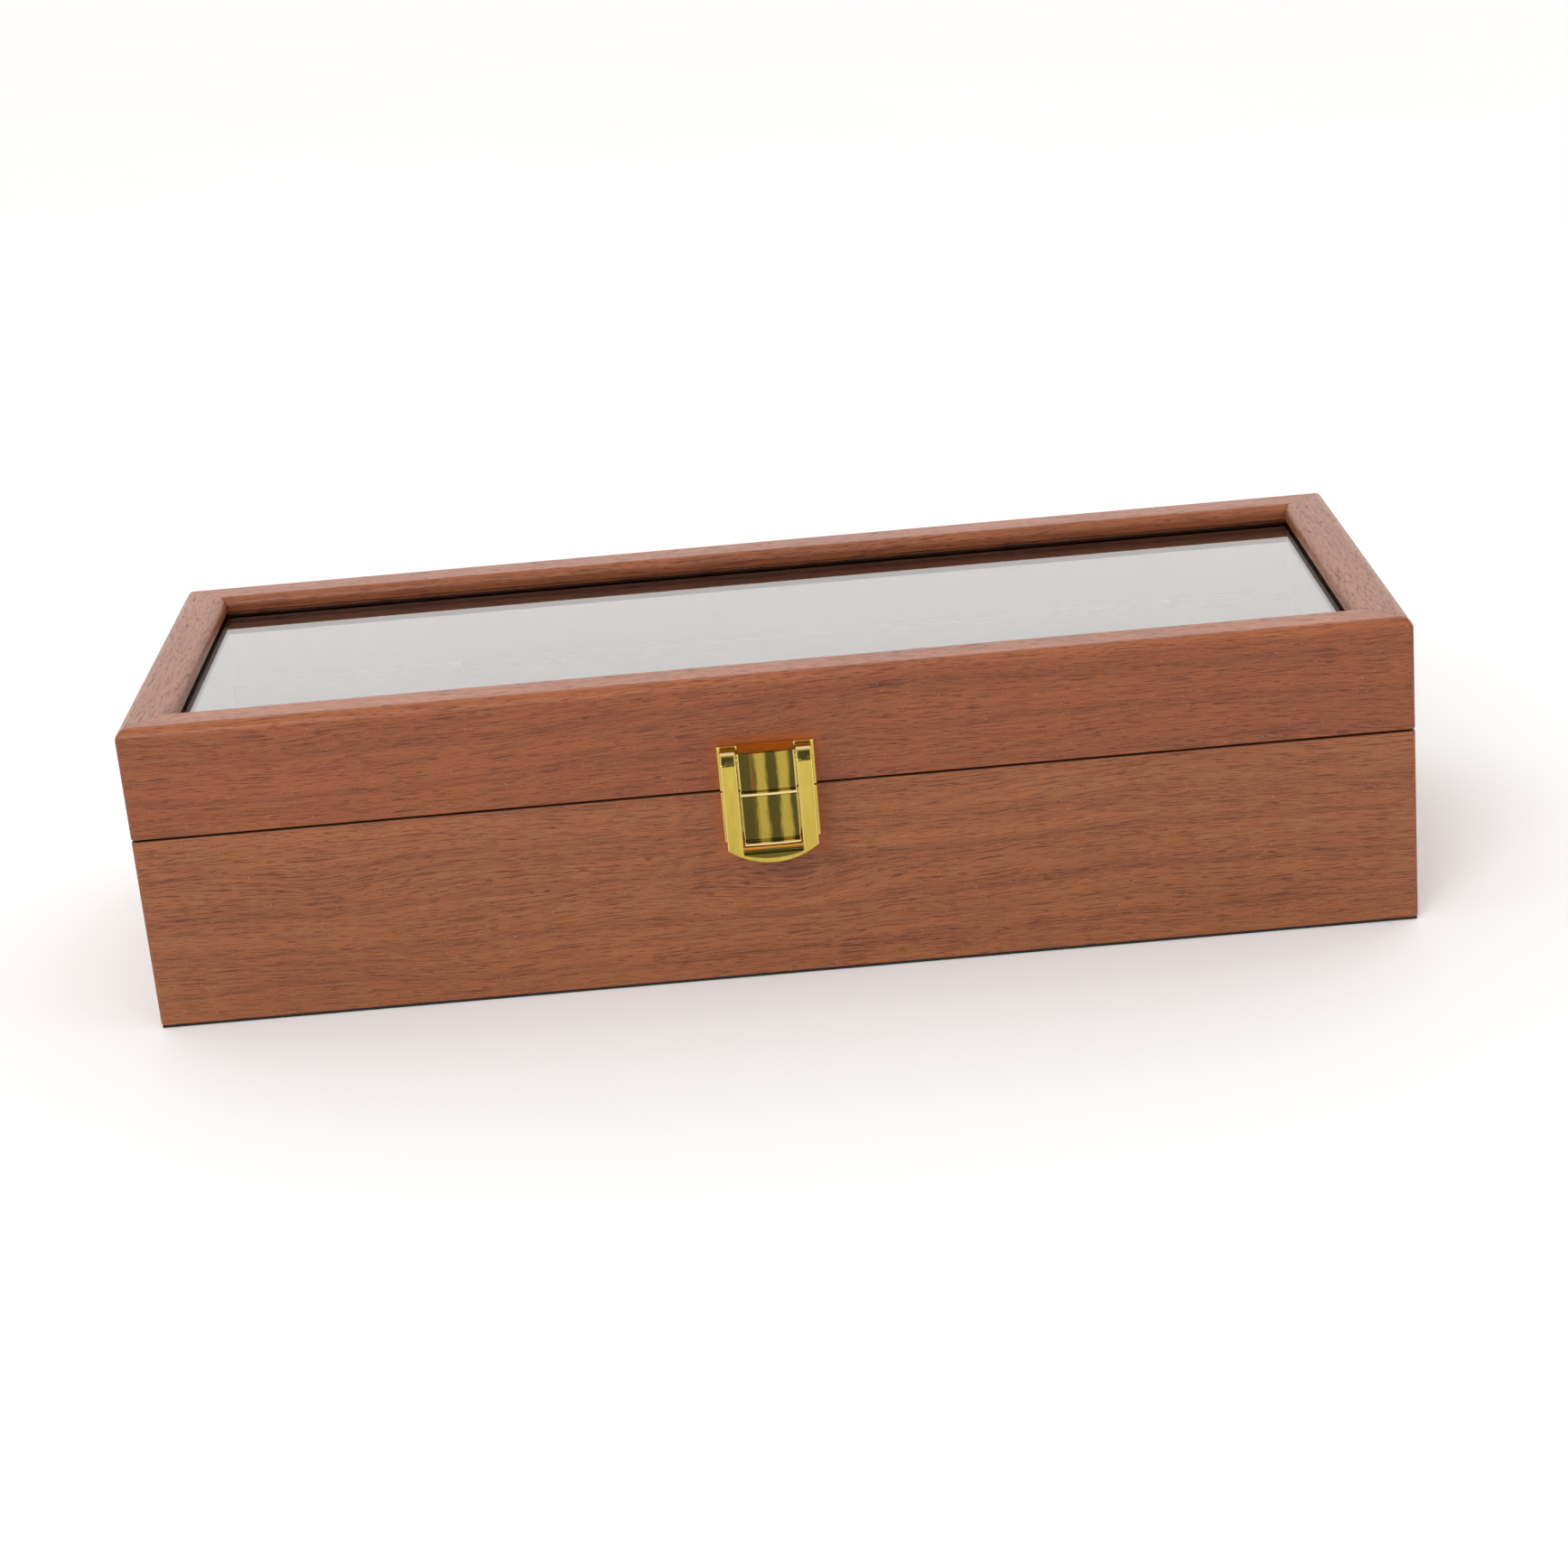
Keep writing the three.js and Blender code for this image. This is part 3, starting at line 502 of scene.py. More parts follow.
def plate_gold(name):
    """
    Drawn sheet: the bowed housings carry soft upright bands of painted reflection, dark down the
    middle and the left side, with painted highlights on the lips along their lower edges.
    """
    s, colour, across, up, proud = polished_gold(name, 0.14)
    # Painted reflections: soft upright dark bands on the bowed housings, and a dark left side,
    # stand in for the surroundings mirrored in the plating.
    drift = s.noise(s.vector(s.mul(across, 0.25), 0.0, s.mul(up, 0.12)))
    wave = s.add(s.add(across, -BAND_SHIFT), s.mul(s.add(drift, -0.5), 1.3))
    wave = s.math("COSINE", s.mul(wave, 2 * math.pi / BAND_PITCH))
    mottle = s.noise(s.vector(s.mul(across, 2.0), 0.0, s.mul(up, 0.3)), 3.0)
    uneven = s.mul(s.add(mottle, -0.5), 1.5)
    dark = s.span(s.add(wave, uneven), -0.75, 0.55, soft=True)
    side = s.span(s.add(across, uneven), *DARK_SIDE, 1.0, 0.0, soft=True)
    dark = s.math("MAXIMUM", dark, side)
    # The bowed fronts are painted a deeper gold, the tone between the painted dark reflections.
    bowed = s.mul(between(s, across, *BOWED_ACROSS, 0.15), between(s, proud, 5.1, 7.5, 0.1))
    colour = s.mix(s.mul(bowed, 0.75), colour, GOLD_REFLECTION_BAND)
    colour = s.mix(s.mul(s.mul(dark, bowed), 0.95), colour, GOLD_SHADE)
    # Painted reflection of the wood: a thin orange sliver on the bowed housing.
    sliver = s.mul(between(s, across, *SLIVER, 0.35), s.mul(bowed, 0.25))
    sliver = s.mul(sliver, s.span(up, 1.0, 2.0, 0.3, 1.0, soft=True))
    colour = s.mix(sliver, colour, GOLD_WOOD_REFLECTION)
    # Painted highlights along the housings' lips.
    lips = s.add(between(s, up, *UPPER_LIP, 0.12), between(s, up, *LOWER_LIP, 0.12))
    lips = s.mul(lips, between(s, proud, 5.2, 7.5, 0.1))
    colour = s.mix(lips, colour, GOLD_HIGHLIGHT)
    # Painted highlight along the housings' side edges.
    out = s.math("ABSOLUTE", across)
    edge = s.mul(between(s, out, *HOUSING_EDGE, 0.06), between(s, proud, 4.9, 7.5, 0.1))
    colour = s.mix(s.mul(edge, 0.85), colour, GOLD_HIGHLIGHT)
    # Painted reflection of the wood: the ledge on top of the housing is painted orange.
    ledge = s.mul(between(s, up, 11.2, 12.5, 0.3), between(s, across, -6.7, 6.7, 0.1))
    ledge = s.mul(ledge, between(s, proud, 0.9, 5.4, 0.15))
    colour = s.mix(s.mul(ledge, 0.9), colour, GOLD_LEDGE_REFLECTION)
    # Painted highlight along the ears' top rim.
    rim = s.mul(between(s, up, 11.6, 12.3, 0.12), between(s, out, 7.2, 12.2, 0.1))
    colour = s.mix(s.mul(rim, 0.8), colour, GOLD_HIGHLIGHT)
    s.set(Base_Color=colour)
    return s.material


def lever_gold(name):
    """
    Flat polished arms with painted highlights along their edges, painted dark reflections on the
    sloping facets below their heads, and painted shade in the hollow under the housing's catch.
    """
    s, colour, across, up, proud = polished_gold(name, 0.13)
    out = s.math("ABSOLUTE", across)
    # Painted reflection: the sloping facets below the heads are darkened, mottled a little.
    facet = s.mul(between(s, up, *FACET_UP, 0.25), between(s, out, *FACET_OUT, 0.15))
    facet = s.mul(facet, between(s, proud, 6.3, 9.0, 0.15))
    facet_mottle = s.noise(s.vector(s.mul(across, 1.1), 0.0, s.mul(up, 0.9)), 2.0)
    colour = s.mix(s.mul(facet, s.span(facet_mottle, 0.25, 0.5, 0.72, 1.0)), colour, GOLD_SHADE)
    # Painted highlight along the top edge of each arm's head.
    head_edge = s.mul(between(s, up, 11.35, 12.3, 0.1), between(s, proud, 5.4, 7.4, 0.15))
    colour = s.mix(head_edge, colour, GOLD_HIGHLIGHT)
    # Painted highlights along the arms' inner and outer edges.
    edges = s.add(between(s, out, *INNER_EDGE, 0.07), between(s, out, *OUTER_EDGE, 0.07))
    edges = s.mul(edges, between(s, up, -13.6, 11.4, 0.3))
    colour = s.mix(s.mul(edges, 0.7), colour, GOLD_HIGHLIGHT)
    # Painted shade: a dark crescent on the bar under the housing's lower lip.
    sag = s.add(s.mul(s.mul(across, across), HOLLOW_CURVE), -HOLLOW_DEPTH)
    hollow = s.span(s.add(s.add(up, -BAR_TOP), s.mul(sag, -1.0)), -0.2, 0.2, soft=True)
    hollow = s.mul(hollow, s.span(out, 7.15, 7.45, 1.0, 0.0, soft=True))
    hollow = s.mul(hollow, s.span(up, -13.8, -13.4, 1.0, 0.0, soft=True))
    colour = s.mix(s.mul(hollow, 0.85), colour, GOLD_SHADE)
    # Painted reflection of the wood: an orange strip on the catch under the housing's lower lip.
    catch = s.mul(between(s, up, -13.75, -12.0, 0.1), s.span(out, 7.1, 7.3, 1.0, 0.0, soft=True))
    colour = s.mix(s.mul(catch, 0.8), colour, GOLD_WOOD_REFLECTION)
    s.set(Base_Color=colour)
    return s.material


def pin_gold(name):
    s, colour, *_ = polished_gold(name, 0.15)
    s.set(Base_Color=colour)
    return s.material


def brass(name):
    """Satin brass with a little tarnish in soft patches."""
    s = Shader(name)
    x, y, z = s.place()
    patch = s.noise(s.vector(s.mul(x, 0.35), s.mul(y, 0.35), s.mul(z, 0.35)), 4.0)
    hair = s.noise(s.vector(s.mul(x, 0.7), s.mul(y, 11.0), s.mul(z, 11.0)), 2.0)
    colour = s.mix(s.span(patch, 0.35, 0.7), rgb(0.60, 0.41, 0.15), rgb(0.72, 0.54, 0.22))
    s.set(Base_Color=colour, Metallic=1.0, Roughness=s.span(hair, 0.3, 0.7, 0.24, 0.38))
    s.set(Normal=s.bump(hair, 0.004 * MM, 0.5))
    return s.material


GLASS_PASSES = rgb(0.18, 0.18, 0.18)


def clear_glass(name):
    """A clear pane with a faint film on it; lamps and soft light pass straight through."""
    s = Shader(name)
    x, y, z = s.place()
    film = s.noise(s.vector(s.mul(x, 1 / 60), s.mul(y, 1 / 40), s.mul(z, 0.1)), 4.0)
    tint = s.mix(s.span(film, 0.4, 0.7), rgb(0.87, 0.86, 0.86), rgb(0.82, 0.81, 0.81))
    s.set(Base_Color=tint)
    s.set(Roughness=0.0, IOR=1.5, Transmission_Weight=1.0)
    s.set(Specular_Tint=rgb(1.0, 0.96, 0.955))
    rays = s.node("ShaderNodeLightPath", {}).outputs
    path = s.math("MAXIMUM", rays["Is Shadow Ray"], rays["Is Diffuse Ray"])
    through = s.node("ShaderNodeBsdfTransparent", {0: GLASS_PASSES}).outputs[0]
    both = s.node("ShaderNodeMixShader", {0: path, 1: s.bsdf.outputs[0], 2: through})
    s.plug(s.output.inputs["Surface"], both.outputs[0])
    return s.material


def velvet(name, base, tip, nap=1.0):
    """Short pile: a crushed nap in soft patches, fine fibres and a sheen at grazing angles."""
    s = Shader(name)
    x, y, z = s.place()
    crush = s.noise(s.vector(s.mul(x, 0.09), s.mul(y, 0.09), s.mul(z, 0.09)), 4.0, 0.6, nap)
    fibre = s.noise(s.vector(s.mul(x, 5.0), s.mul(y, 5.0), s.mul(z, 5.0)), 2.0)
    blend = s.add(s.mul(s.span(crush, 0.35, 0.65), 0.7), s.mul(fibre, 0.3))
    s.set(Base_Color=s.mix(blend, base, tip), Roughness=0.95, Specular_IOR_Level=0.15)
    s.set(Sheen_Weight=0.45, Sheen_Roughness=0.4, Sheen_Tint=rgb(0.62, 0.60, 0.64))
    s.set(Normal=s.bump(s.add(fibre, s.mul(crush, 0.8)), 0.12 * MM, 0.6))
    return s.material


def felt(name):
    """Matted black wool."""
    s = Shader(name)
    x, y, z = s.place()
    wool = s.noise(s.vector(s.mul(x, 1.4), s.mul(y, 1.4), s.mul(z, 1.4)), 5.0, 0.65)
    colour = s.mix(s.span(wool, 0.3, 0.7), rgb(0.018, 0.015, 0.014), rgb(0.05, 0.043, 0.04))
    s.set(Base_Color=colour)
    s.set(Roughness=1.0, Specular_IOR_Level=0.1)
    s.set(Normal=s.bump(wool, 0.2 * MM, 0.8))
    return s.material


def plywood(name):
    """Pale veneer with its grain along the box."""
    s = Shader(name)
    x, y, z = s.place()
    grain = s.noise(s.vector(s.mul(x, 1 / 30), s.mul(y, 1 / 1.2), z), 4.0)
    s.set(Base_Color=s.mix(s.span(grain, 0.3, 0.7), rgb(0.30, 0.19, 0.10), rgb(0.45, 0.30, 0.17)))
    s.set(Roughness=0.75, Normal=s.bump(grain, 0.1 * MM, 0.5))
    return s.material


VELVET = velvet("velvet_lining", rgb(0.012, 0.011, 0.013), rgb(0.030, 0.028, 0.032))
CUSHION = velvet("velvet_cushion", rgb(0.014, 0.013, 0.015), rgb(0.042, 0.039, 0.045), 1.8)
PLATE_GOLD = plate_gold("gold_plating_drawn")
LEVER_GOLD = lever_gold("gold_plating_polished")
PIN_GOLD = pin_gold("gold_plating_pins")
BRASS = brass("satin_brass")


# ---- Mitred frames ---------------------------------------


def arc(centre, radius, start, stop, steps=ARC_STEPS):
    """Points on an arc, angles in degrees."""
    points = []
    for i in range(steps + 1):
        angle = math.radians(start + (stop - start) * i / steps)
        points.append((centre[0] + radius * math.cos(angle), centre[1] + radius * math.sin(angle)))
    return points


def rounded_box_outline(inset0, inset1, z0, z1, radii):
    """Outline between two insets and two heights; radii from low outer, counter-clockwise."""
    corners = [(inset0, z0, 180), (inset1, z0, 270), (inset1, z1, 0), (inset0, z1, 90)]
    points = []
    for (inset, z, start), radius in zip(corners, radii):
        toward_x = radius if inset == inset0 else -radius
        toward_z = radius if z == z0 else -radius
        centre = (inset + toward_x, z + toward_z)
        points += arc(centre, radius, start, start + 90) if radius > 0 else [(inset, z)]
    return points


def mitred_rail(name, outline, span, offset, turn):
    """
    One rail of a frame with rounded upright corners. The outline, inset and height, is swept
    from one mitre plane along the rail to the other, and the ends are closed.
    """
    bm = bmesh.new()
    sections = []
    for end in (-1, 1):
        for step in range(CORNER_STEPS + 1):
            lean = step / CORNER_STEPS if end > 0 else 1 - step / CORNER_STEPS
            angle = math.radians(45 * lean)
            section = []
            for inset, z in outline:
                radius = max(CORNER_ROUND - inset, 0.0)
                corner = max(CORNER_ROUND, inset)
                x = span / 2 - corner + radius * math.sin(angle) - GLUE_LINE
                y = corner - radius * math.cos(angle) - offset
                section.append(bm.verts.new((end * x, y, z)))
            sections.append(section)
    bridge(bm, sections)
    bm.faces.new(sections[0])
    bm.faces.new(reversed(sections[-1]))
    bmesh.ops.remove_doubles(bm, verts=bm.verts, dist=WELD_DISTANCE)
    bmesh.ops.dissolve_degenerate(bm, edges=bm.edges, dist=WELD_DISTANCE)
    bmesh.ops.rotate(bm, verts=bm.verts, matrix=Matrix.Rotation(turn, 3, "Z"))
    return solid_from(bm, name)


SIDES = {
    "front": (2 * HALF_X, HALF_Y, 0.0),
    "right": (2 * HALF_Y, HALF_X, math.pi / 2),
    "back": (2 * HALF_X, HALF_Y, math.pi),
    "left": (2 * HALF_Y, HALF_X, -math.pi / 2),
}


def case_outline():
    """Section of a case board: eased foot, rabbet for the panel, low ridge, eased joint."""
    board_low = low("base_front_board")
    board_high = high("base_front_board")
    panel = low("bottom_panel")
    wall = board_high.y - board_low.y
    ledge = HALF_Y + panel.y - RABBET_PLAY
    shelf = high("bottom_panel").z + RABBET_PLAY
    foot = arc((EASED_EDGE, board_low.z + EASED_EDGE), EASED_EDGE, 180, 270)
    seam = board_high.z - RIDGE_HEIGHT
    inner = [
        (ledge, board_low.z),
        (ledge, shelf),
        (wall, shelf),
        (wall, board_high.z),
        (RIDGE_INSET, board_high.z),
        (RIDGE_INSET, seam),
    ]
    outer = arc((EASED_EDGE, seam - EASED_EDGE), EASED_EDGE, 90, 180)
    return foot + inner + outer


def lid_outline():
    """Section of a lid rail: eased foot, rabbet for the glass, shadow gap, rounded top."""
    rail_low = low("lid_front_rail")
    rail_high = high("lid_front_rail")
    width = rail_high.y - rail_low.y
    wall = HALF_Y + low("lid_glass").y - PANE_PLAY
    seat = high("lid_glass").z + PANE_GAP
    top = rail_high.z
    inner = arc((width - INNER_ROUND, top - INNER_ROUND), INNER_ROUND, 0, 90)
    outer = arc((OUTER_ROUND, top - OUTER_ROUND), OUTER_ROUND, 90, 180)
    foot = arc((EASED_EDGE, rail_low.z + EASED_EDGE), EASED_EDGE, 180, 270)
    notch = width - REVEAL_DEPTH
    brim = seat + REVEAL_HEIGHT
    inside = [(wall, rail_low.z), (wall, seat), (notch, seat), (notch, brim), (width, brim)]
    return foot + inside + inner + outer


KNOT = (1.8, 29.0, 17.0, 9.0)
WALNUTS = {
    ("base", "front"): walnut(
        "walnut_base_front", "x", 1.0, WALNUT_BROWN, KNOT, latched=True, shaded_inside=True
    ),
    ("base", "right"): walnut("walnut_base_right", "y", 2.3, WALNUT_BROWN, shaded_inside=True),
    ("base", "back"): walnut("walnut_base_back", "x", 3.1, WALNUT_BROWN, shaded_inside=True),
    ("base", "left"): walnut("walnut_base_left", "y", 4.7, WALNUT_BROWN, shaded_inside=True),
    ("lid", "front"): walnut("walnut_lid_front", "x", 5.2, WALNUT_RED, top_highlight=1.35, latched=True),
    ("lid", "right"): walnut("walnut_lid_right", "y", 6.4, WALNUT_BROWN),
    ("lid", "back"): walnut("walnut_lid_back", "x", 7.6, WALNUT_RED, top_highlight=1.25),
    ("lid", "left"): walnut("walnut_lid_left", "y", 8.9, WALNUT_BROWN),
}


def cut_mortises(piece, owner):
    """The recesses that the hinge leaves lie in."""
    play = Vector((MORTISE_PLAY,) * 3)
    for side in ("left", "right"):
        leaf = f"hinge_leaf_{owner}_{side}"
        corner_low = low(leaf) - play
        corner_high = high(leaf) + play
        corner_low.z = SEAM_Z - (MORTISE_DEPTH if owner == "base" else 0.0)
        corner_high.z = SEAM_Z + (MORTISE_ABOVE if owner == "base" else MORTISE_DEPTH)
        boolean(piece, solid_from(block(corner_low, corner_high), "cutter"), "DIFFERENCE")


def boolean(piece, other, operation):
    modifier = piece.modifiers.new("boolean", "BOOLEAN")
    modifier.operation = operation
    modifier.solver = "EXACT"
    modifier.object = other
    apply_modifiers(piece)
    bpy.data.objects.remove(other, do_unlink=True)


def make_woodwork():
    frames = (("base", case_outline(), "board"), ("lid", lid_outline(), "rail"))
    for owner, outline, suffix in frames:
        for side, (span, offset, turn) in SIDES.items():
            piece = mitred_rail(f"{owner}_{side}_wood", outline, span, offset, turn)
            if side == "back":
                cut_mortises(piece, owner)
            even_normals(piece)
            node = f"{owner}_{side}_{suffix}"
            finish_piece(piece, owner, [node], WALNUTS[owner, side])


def make_glass_strips():
    strip = "lid_strip_front"
    inset0 = HALF_Y + low(strip).y
    inset1 = HALF_Y + high(strip).y
    radii = (STRIP_HARD_EDGE, STRIP_SOFT_EDGE, STRIP_SOFT_EDGE, STRIP_HARD_EDGE)
    outline = rounded_box_outline(inset0, inset1, low(strip).z, high(strip).z, radii)
    for side, (span, offset, turn) in SIDES.items():
        piece = mitred_rail(f"glass_strip_{side}", outline, span, offset, turn)
        even_normals(piece)
        finish_piece(piece, "lid", [f"lid_strip_{side}"], VELVET)


make_woodwork()
make_glass_strips()

# ---- Solid pieces from straight and turned parts ---------


def prism(outline, start, stop, place):
    """A solid of constant section; place turns outline u, outline v and depth into a point."""
    bm = bmesh.new()
    ends = [[bm.verts.new(place(u, v, w)) for u, v in outline] for w in (start, stop)]
    bridge(bm, ends)
    bm.faces.new(ends[0])
    bm.faces.new(reversed(ends[1]))
    return solid_from(bm, "part")


def slab(corner0, corner1, place):
    """A box between two corners given as u, v, depth."""
    (u0, v0, w0), (u1, v1, w1) = corner0, corner1
    return prism([(u0, v0), (u1, v0), (u1, v1), (u0, v1)], w0, w1, place)


def turned(profile, place, steps=40):
    """A solid of revolution from (radius, along) points; place takes u, v and along."""
    bm = bmesh.new()
    rings = []
    for radius, along in profile:
        if radius == 0:
            rings.append([bm.verts.new(place(0.0, 0.0, along))])
            continue
        ring = []
        for i in range(steps):
            angle = 2 * math.pi * i / steps
            point = place(radius * math.cos(angle), radius * math.sin(angle), along)
            ring.append(bm.verts.new(point))
        rings.append(ring)
    for one, two in zip(rings, rings[1:]):
        for i in range(steps):
            j = (i + 1) % steps
            if len(one) == 1:
                bm.faces.new((one[0], two[i], two[j]))
            elif len(two) == 1:
                bm.faces.new((one[i], two[0], one[j]))
            else:
                bm.faces.new((one[i], two[i], two[j], one[j]))
    return solid_from(bm, "part")


def assemble(name, first, added, removed=()):
    """Fuse solids into one and cut others out of it, leaving only real edges."""
    for other in added:
        boolean(first, other, "UNION")
    for other in removed:
        boolean(first, other, "DIFFERENCE")
    first.name = name
    bm = bmesh.new()
    bm.from_mesh(first.data)
    bmesh.ops.remove_doubles(bm, verts=bm.verts, dist=WELD_DISTANCE)
    bmesh.ops.dissolve_limit(
        bm, angle_limit=math.radians(1), verts=bm.verts, edges=bm.edges, delimit=set()
    )
    bm.to_mesh(first.data)
    bm.free()
    return first


def dome(radius, height, base, steps=6):
    """Profile points of a low dome from its rim to its crown."""
    points = []
    for i in range(steps + 1):
        angle = math.pi / 2 * i / steps
        points.append((radius * math.cos(angle), base + height * math.sin(angle)))
    points[-1] = (0, base + height)
    return points


# ---- Latch -----------------------------------------------


def from_front(x, height, proud):
    return Vector((LATCH_X + x * MM, FRONT_Y - proud * MM, SEAM_Z + height * MM))


def from_top(x, proud, height):
    return from_front(x, height, proud)


def from_side(proud, height, x):
    return from_front(x, height, proud)


def heights(node):
    """A latch piece's lower and upper edge, in millimetres from the joint line."""
    return (low(node).z - SEAM_Z) / MM, (high(node).z - SEAM_Z) / MM


def housing(bottom, top, proud, bulge):
    """The raised part of a plate, with its front bowed out a little."""
    radius = (HOUSING_HALF**2 + bulge**2) / (2 * bulge)
    reach = math.degrees(math.asin(HOUSING_HALF / radius))
    bow = arc((0.0, proud - radius), radius, 90 - reach, 90 + reach, 16)
    outline = [(-HOUSING_HALF, 0.0), (HOUSING_HALF, 0.0)] + bow
    return prism(outline, bottom, top, from_top)


def along_pin(u, v, x):
    """A point about the latch's pin."""
    return from_front(x, PIVOT_HEIGHT + v, PIVOT_PROUD + u)


def latch_bore(half):
    return turned([(0, -half), (LATCH_BORE, -half), (LATCH_BORE, half), (0, half)], along_pin)


def nail_holes(height):
    holes = []
    for x in (-NAIL_X, NAIL_X):

        def into_plate(u, v, proud):
            return from_front(x + u, height + v, proud)

        profile = [(0, -1), (NAIL_HOLE, -1), (NAIL_HOLE, 2), (0, 2)]
        holes.append(turned(profile, into_plate, 24))
    return holes


def make_plate(owner, body, foot_raise, lip_proud, added, removed):
    """One fixed half of the latch: its flange, its bowed housing with a lip, its nail holes."""
    node = f"clasp_{owner}_plate"
    bottom, top = heights(node)
    foot = bottom + foot_raise
    flange = slab((-PLATE_HALF, bottom, 0), (PLATE_HALF, top, PLATE_THICK), from_front)
    raised = housing(foot, top, HOUSING_PROUD, HOUSING_BULGE)
    lip = housing(foot, foot + LIP_HEIGHT, lip_proud, HOUSING_BULGE)
    holes = nail_holes((middle(f"clasp_{owner}_nail_left").z - SEAM_Z) / MM)
    plate = assemble(f"{node}_gold", flange, [raised, lip, *added], [*removed, *holes])
    bevel(plate, LATCH_EDGE * MM)
    even_normals(plate)
    finish_piece(plate, body, [node], PLATE_GOLD)


def make_plates():
    top = heights("clasp_lid_plate")[1]
    ears = slab((-PLATE_HALF, top - EAR_HEIGHT, 0), (PLATE_HALF, top, EAR_PROUD), from_front)
    brow = [
        (PLATE_THICK, top),
        (HOUSING_PROUD, top - BROW),
        (HOUSING_PROUD + 1, top - BROW),
        (HOUSING_PROUD + 1, top + 1),
        (PLATE_THICK, top + 1),
    ]
    wedge = prism(brow, -HOUSING_HALF - CUT_PAST, HOUSING_HALF + CUT_PAST, from_side)
    make_plate("lid", "lid", 0.0, UPPER_LIP_PROUD, [ears], [wedge, latch_bore(ARM_INNER)])
    make_plate("body", "base", LOWER_LIP_RAISE, LOWER_LIP_PROUD, [], [])


def lever_outline():
    """Front outline of the lever, a U with a round lower edge."""
    radius = (ARM_OUTER**2 + BAR_SAG**2) / (2 * BAR_SAG)
    centre = BAR_SHOULDER - BAR_SAG + radius
    reach = math.degrees(math.asin(ARM_OUTER / radius))
    lower = arc((0.0, centre), radius, 270 - reach, 270 + reach, 36)
    inside = [
        (ARM_OUTER, ARM_HEAD_START),
        (ARM_INNER, ARM_HEAD_START),
        (ARM_INNER, BAR_TOP),
        (-ARM_INNER, BAR_TOP),
        (-ARM_INNER, ARM_HEAD_START),
        (-ARM_OUTER, ARM_HEAD_START),
    ]
    return lower + inside


def arm_head_outline():
    """Side outline of an arm's rounded head with the sloping facet in front of it."""
    head = arc((PIVOT_PROUD, PIVOT_HEIGHT), HEAD_RADIUS, FACET_ANGLE, 270, 30)
    return [
        (ARM_BACK, ARM_HEAD_START - 1),
        (ARM_FRONT, ARM_HEAD_START - 1),
        (ARM_FRONT, FACET_END),
        *head,
        (ARM_BACK, ARM_HEAD_START),
    ]


def make_lever():
    lever = prism(lever_outline(), ARM_BACK, ARM_FRONT, from_front)
    heads = [
        prism(arm_head_outline(), ARM_INNER * side, ARM_OUTER * side, from_side)
        for side in (-1, 1)
    ]
    hook = slab((-HOOK_HALF, HOOK_BOTTOM, HOOK_BACK), (HOOK_HALF, HOOK_TOP, HOOK_FRONT), from_front)
    bore = latch_bore((high("clasp_pin").x - LATCH_X) / MM + 0.2)
    assemble("clasp_lever_gold", lever, [*heads, hook], [bore])
    bevel(lever, LATCH_EDGE * MM)
    even_normals(lever)
    finish_piece(lever, "clasp_lever", ["clasp_lever"], LEVER_GOLD)


def make_clasp_pin():
    half = (high("clasp_pin").x - LATCH_X) / MM
    radius = LATCH_BORE - PIN_PLAY
    near = [(radius - PIN_ROUND, -half), (radius, -half + PIN_ROUND)]
    far = [(radius, half - PIN_ROUND), (radius - PIN_ROUND, half)]
    pin = turned([(0, -half), *near, *far, (0, half)], along_pin)
    pin.name = "clasp_pin_gold"
    smooth(pin.data, 30)
    finish_piece(pin, "lid", ["clasp_pin"], PIN_GOLD)


def make_nail(node, body):
    place = middle(node)
    head_radius = (high(node).x - low(node).x) / 2 / MM
    head_top = (FRONT_Y - low(node).y) / MM
    height = (place.z - SEAM_Z) / MM
    tip = (FRONT_Y - high(node).y) / MM

    def into_wood(u, v, proud):
        return from_front((place.x - LATCH_X) / MM + u, height + v, proud)

    rim = PLATE_THICK + NAIL_RIM
    shank = [(0, tip), (NAIL_SHANK, tip + 1), (NAIL_SHANK, PLATE_THICK), (head_radius, PLATE_THICK)]
    nail = turned([*shank, *dome(head_radius, head_top - rim, rim)], into_wood)
    nail.name = f"{node}_gold"
    smooth(nail.data, 40)
    finish_piece(nail, body, [node], PIN_GOLD)


def make_latch_pins():
    make_clasp_pin()
    for owner, body in (("lid", "lid"), ("body", "base")):
        for side in ("left", "right"):
            make_nail(f"clasp_{owner}_nail_{side}", body)


# ---- Hinges ----------------------------------------------

KNUCKLE_RADIUS = 2.2
KNUCKLE_PLAY = 0.2
LEAF_GAP = 0.2  # from the joint line to each leaf's face
LEAF_THICK = 1.0
HINGE_BORE = 0.95
PIN_DOME = 0.35
SCREW_SHANK = 0.7
SCREW_POINT = 1.5
SCREW_HEAD_DEPTH = 1.0
SCREW_PLAY = 0.1
SLOT_LONG = 1.0  # half lengths of a screw's slot
SLOT_WIDE = 0.25
SLOT_DEPTH = 0.55
SCREW_EDGE = 0.05
HINGE_EDGE = 0.12
KNUCKLES = {"base": [(-15.0, -5.2), (5.2, 15.0)], "lid": [(-4.9, 4.9)]}


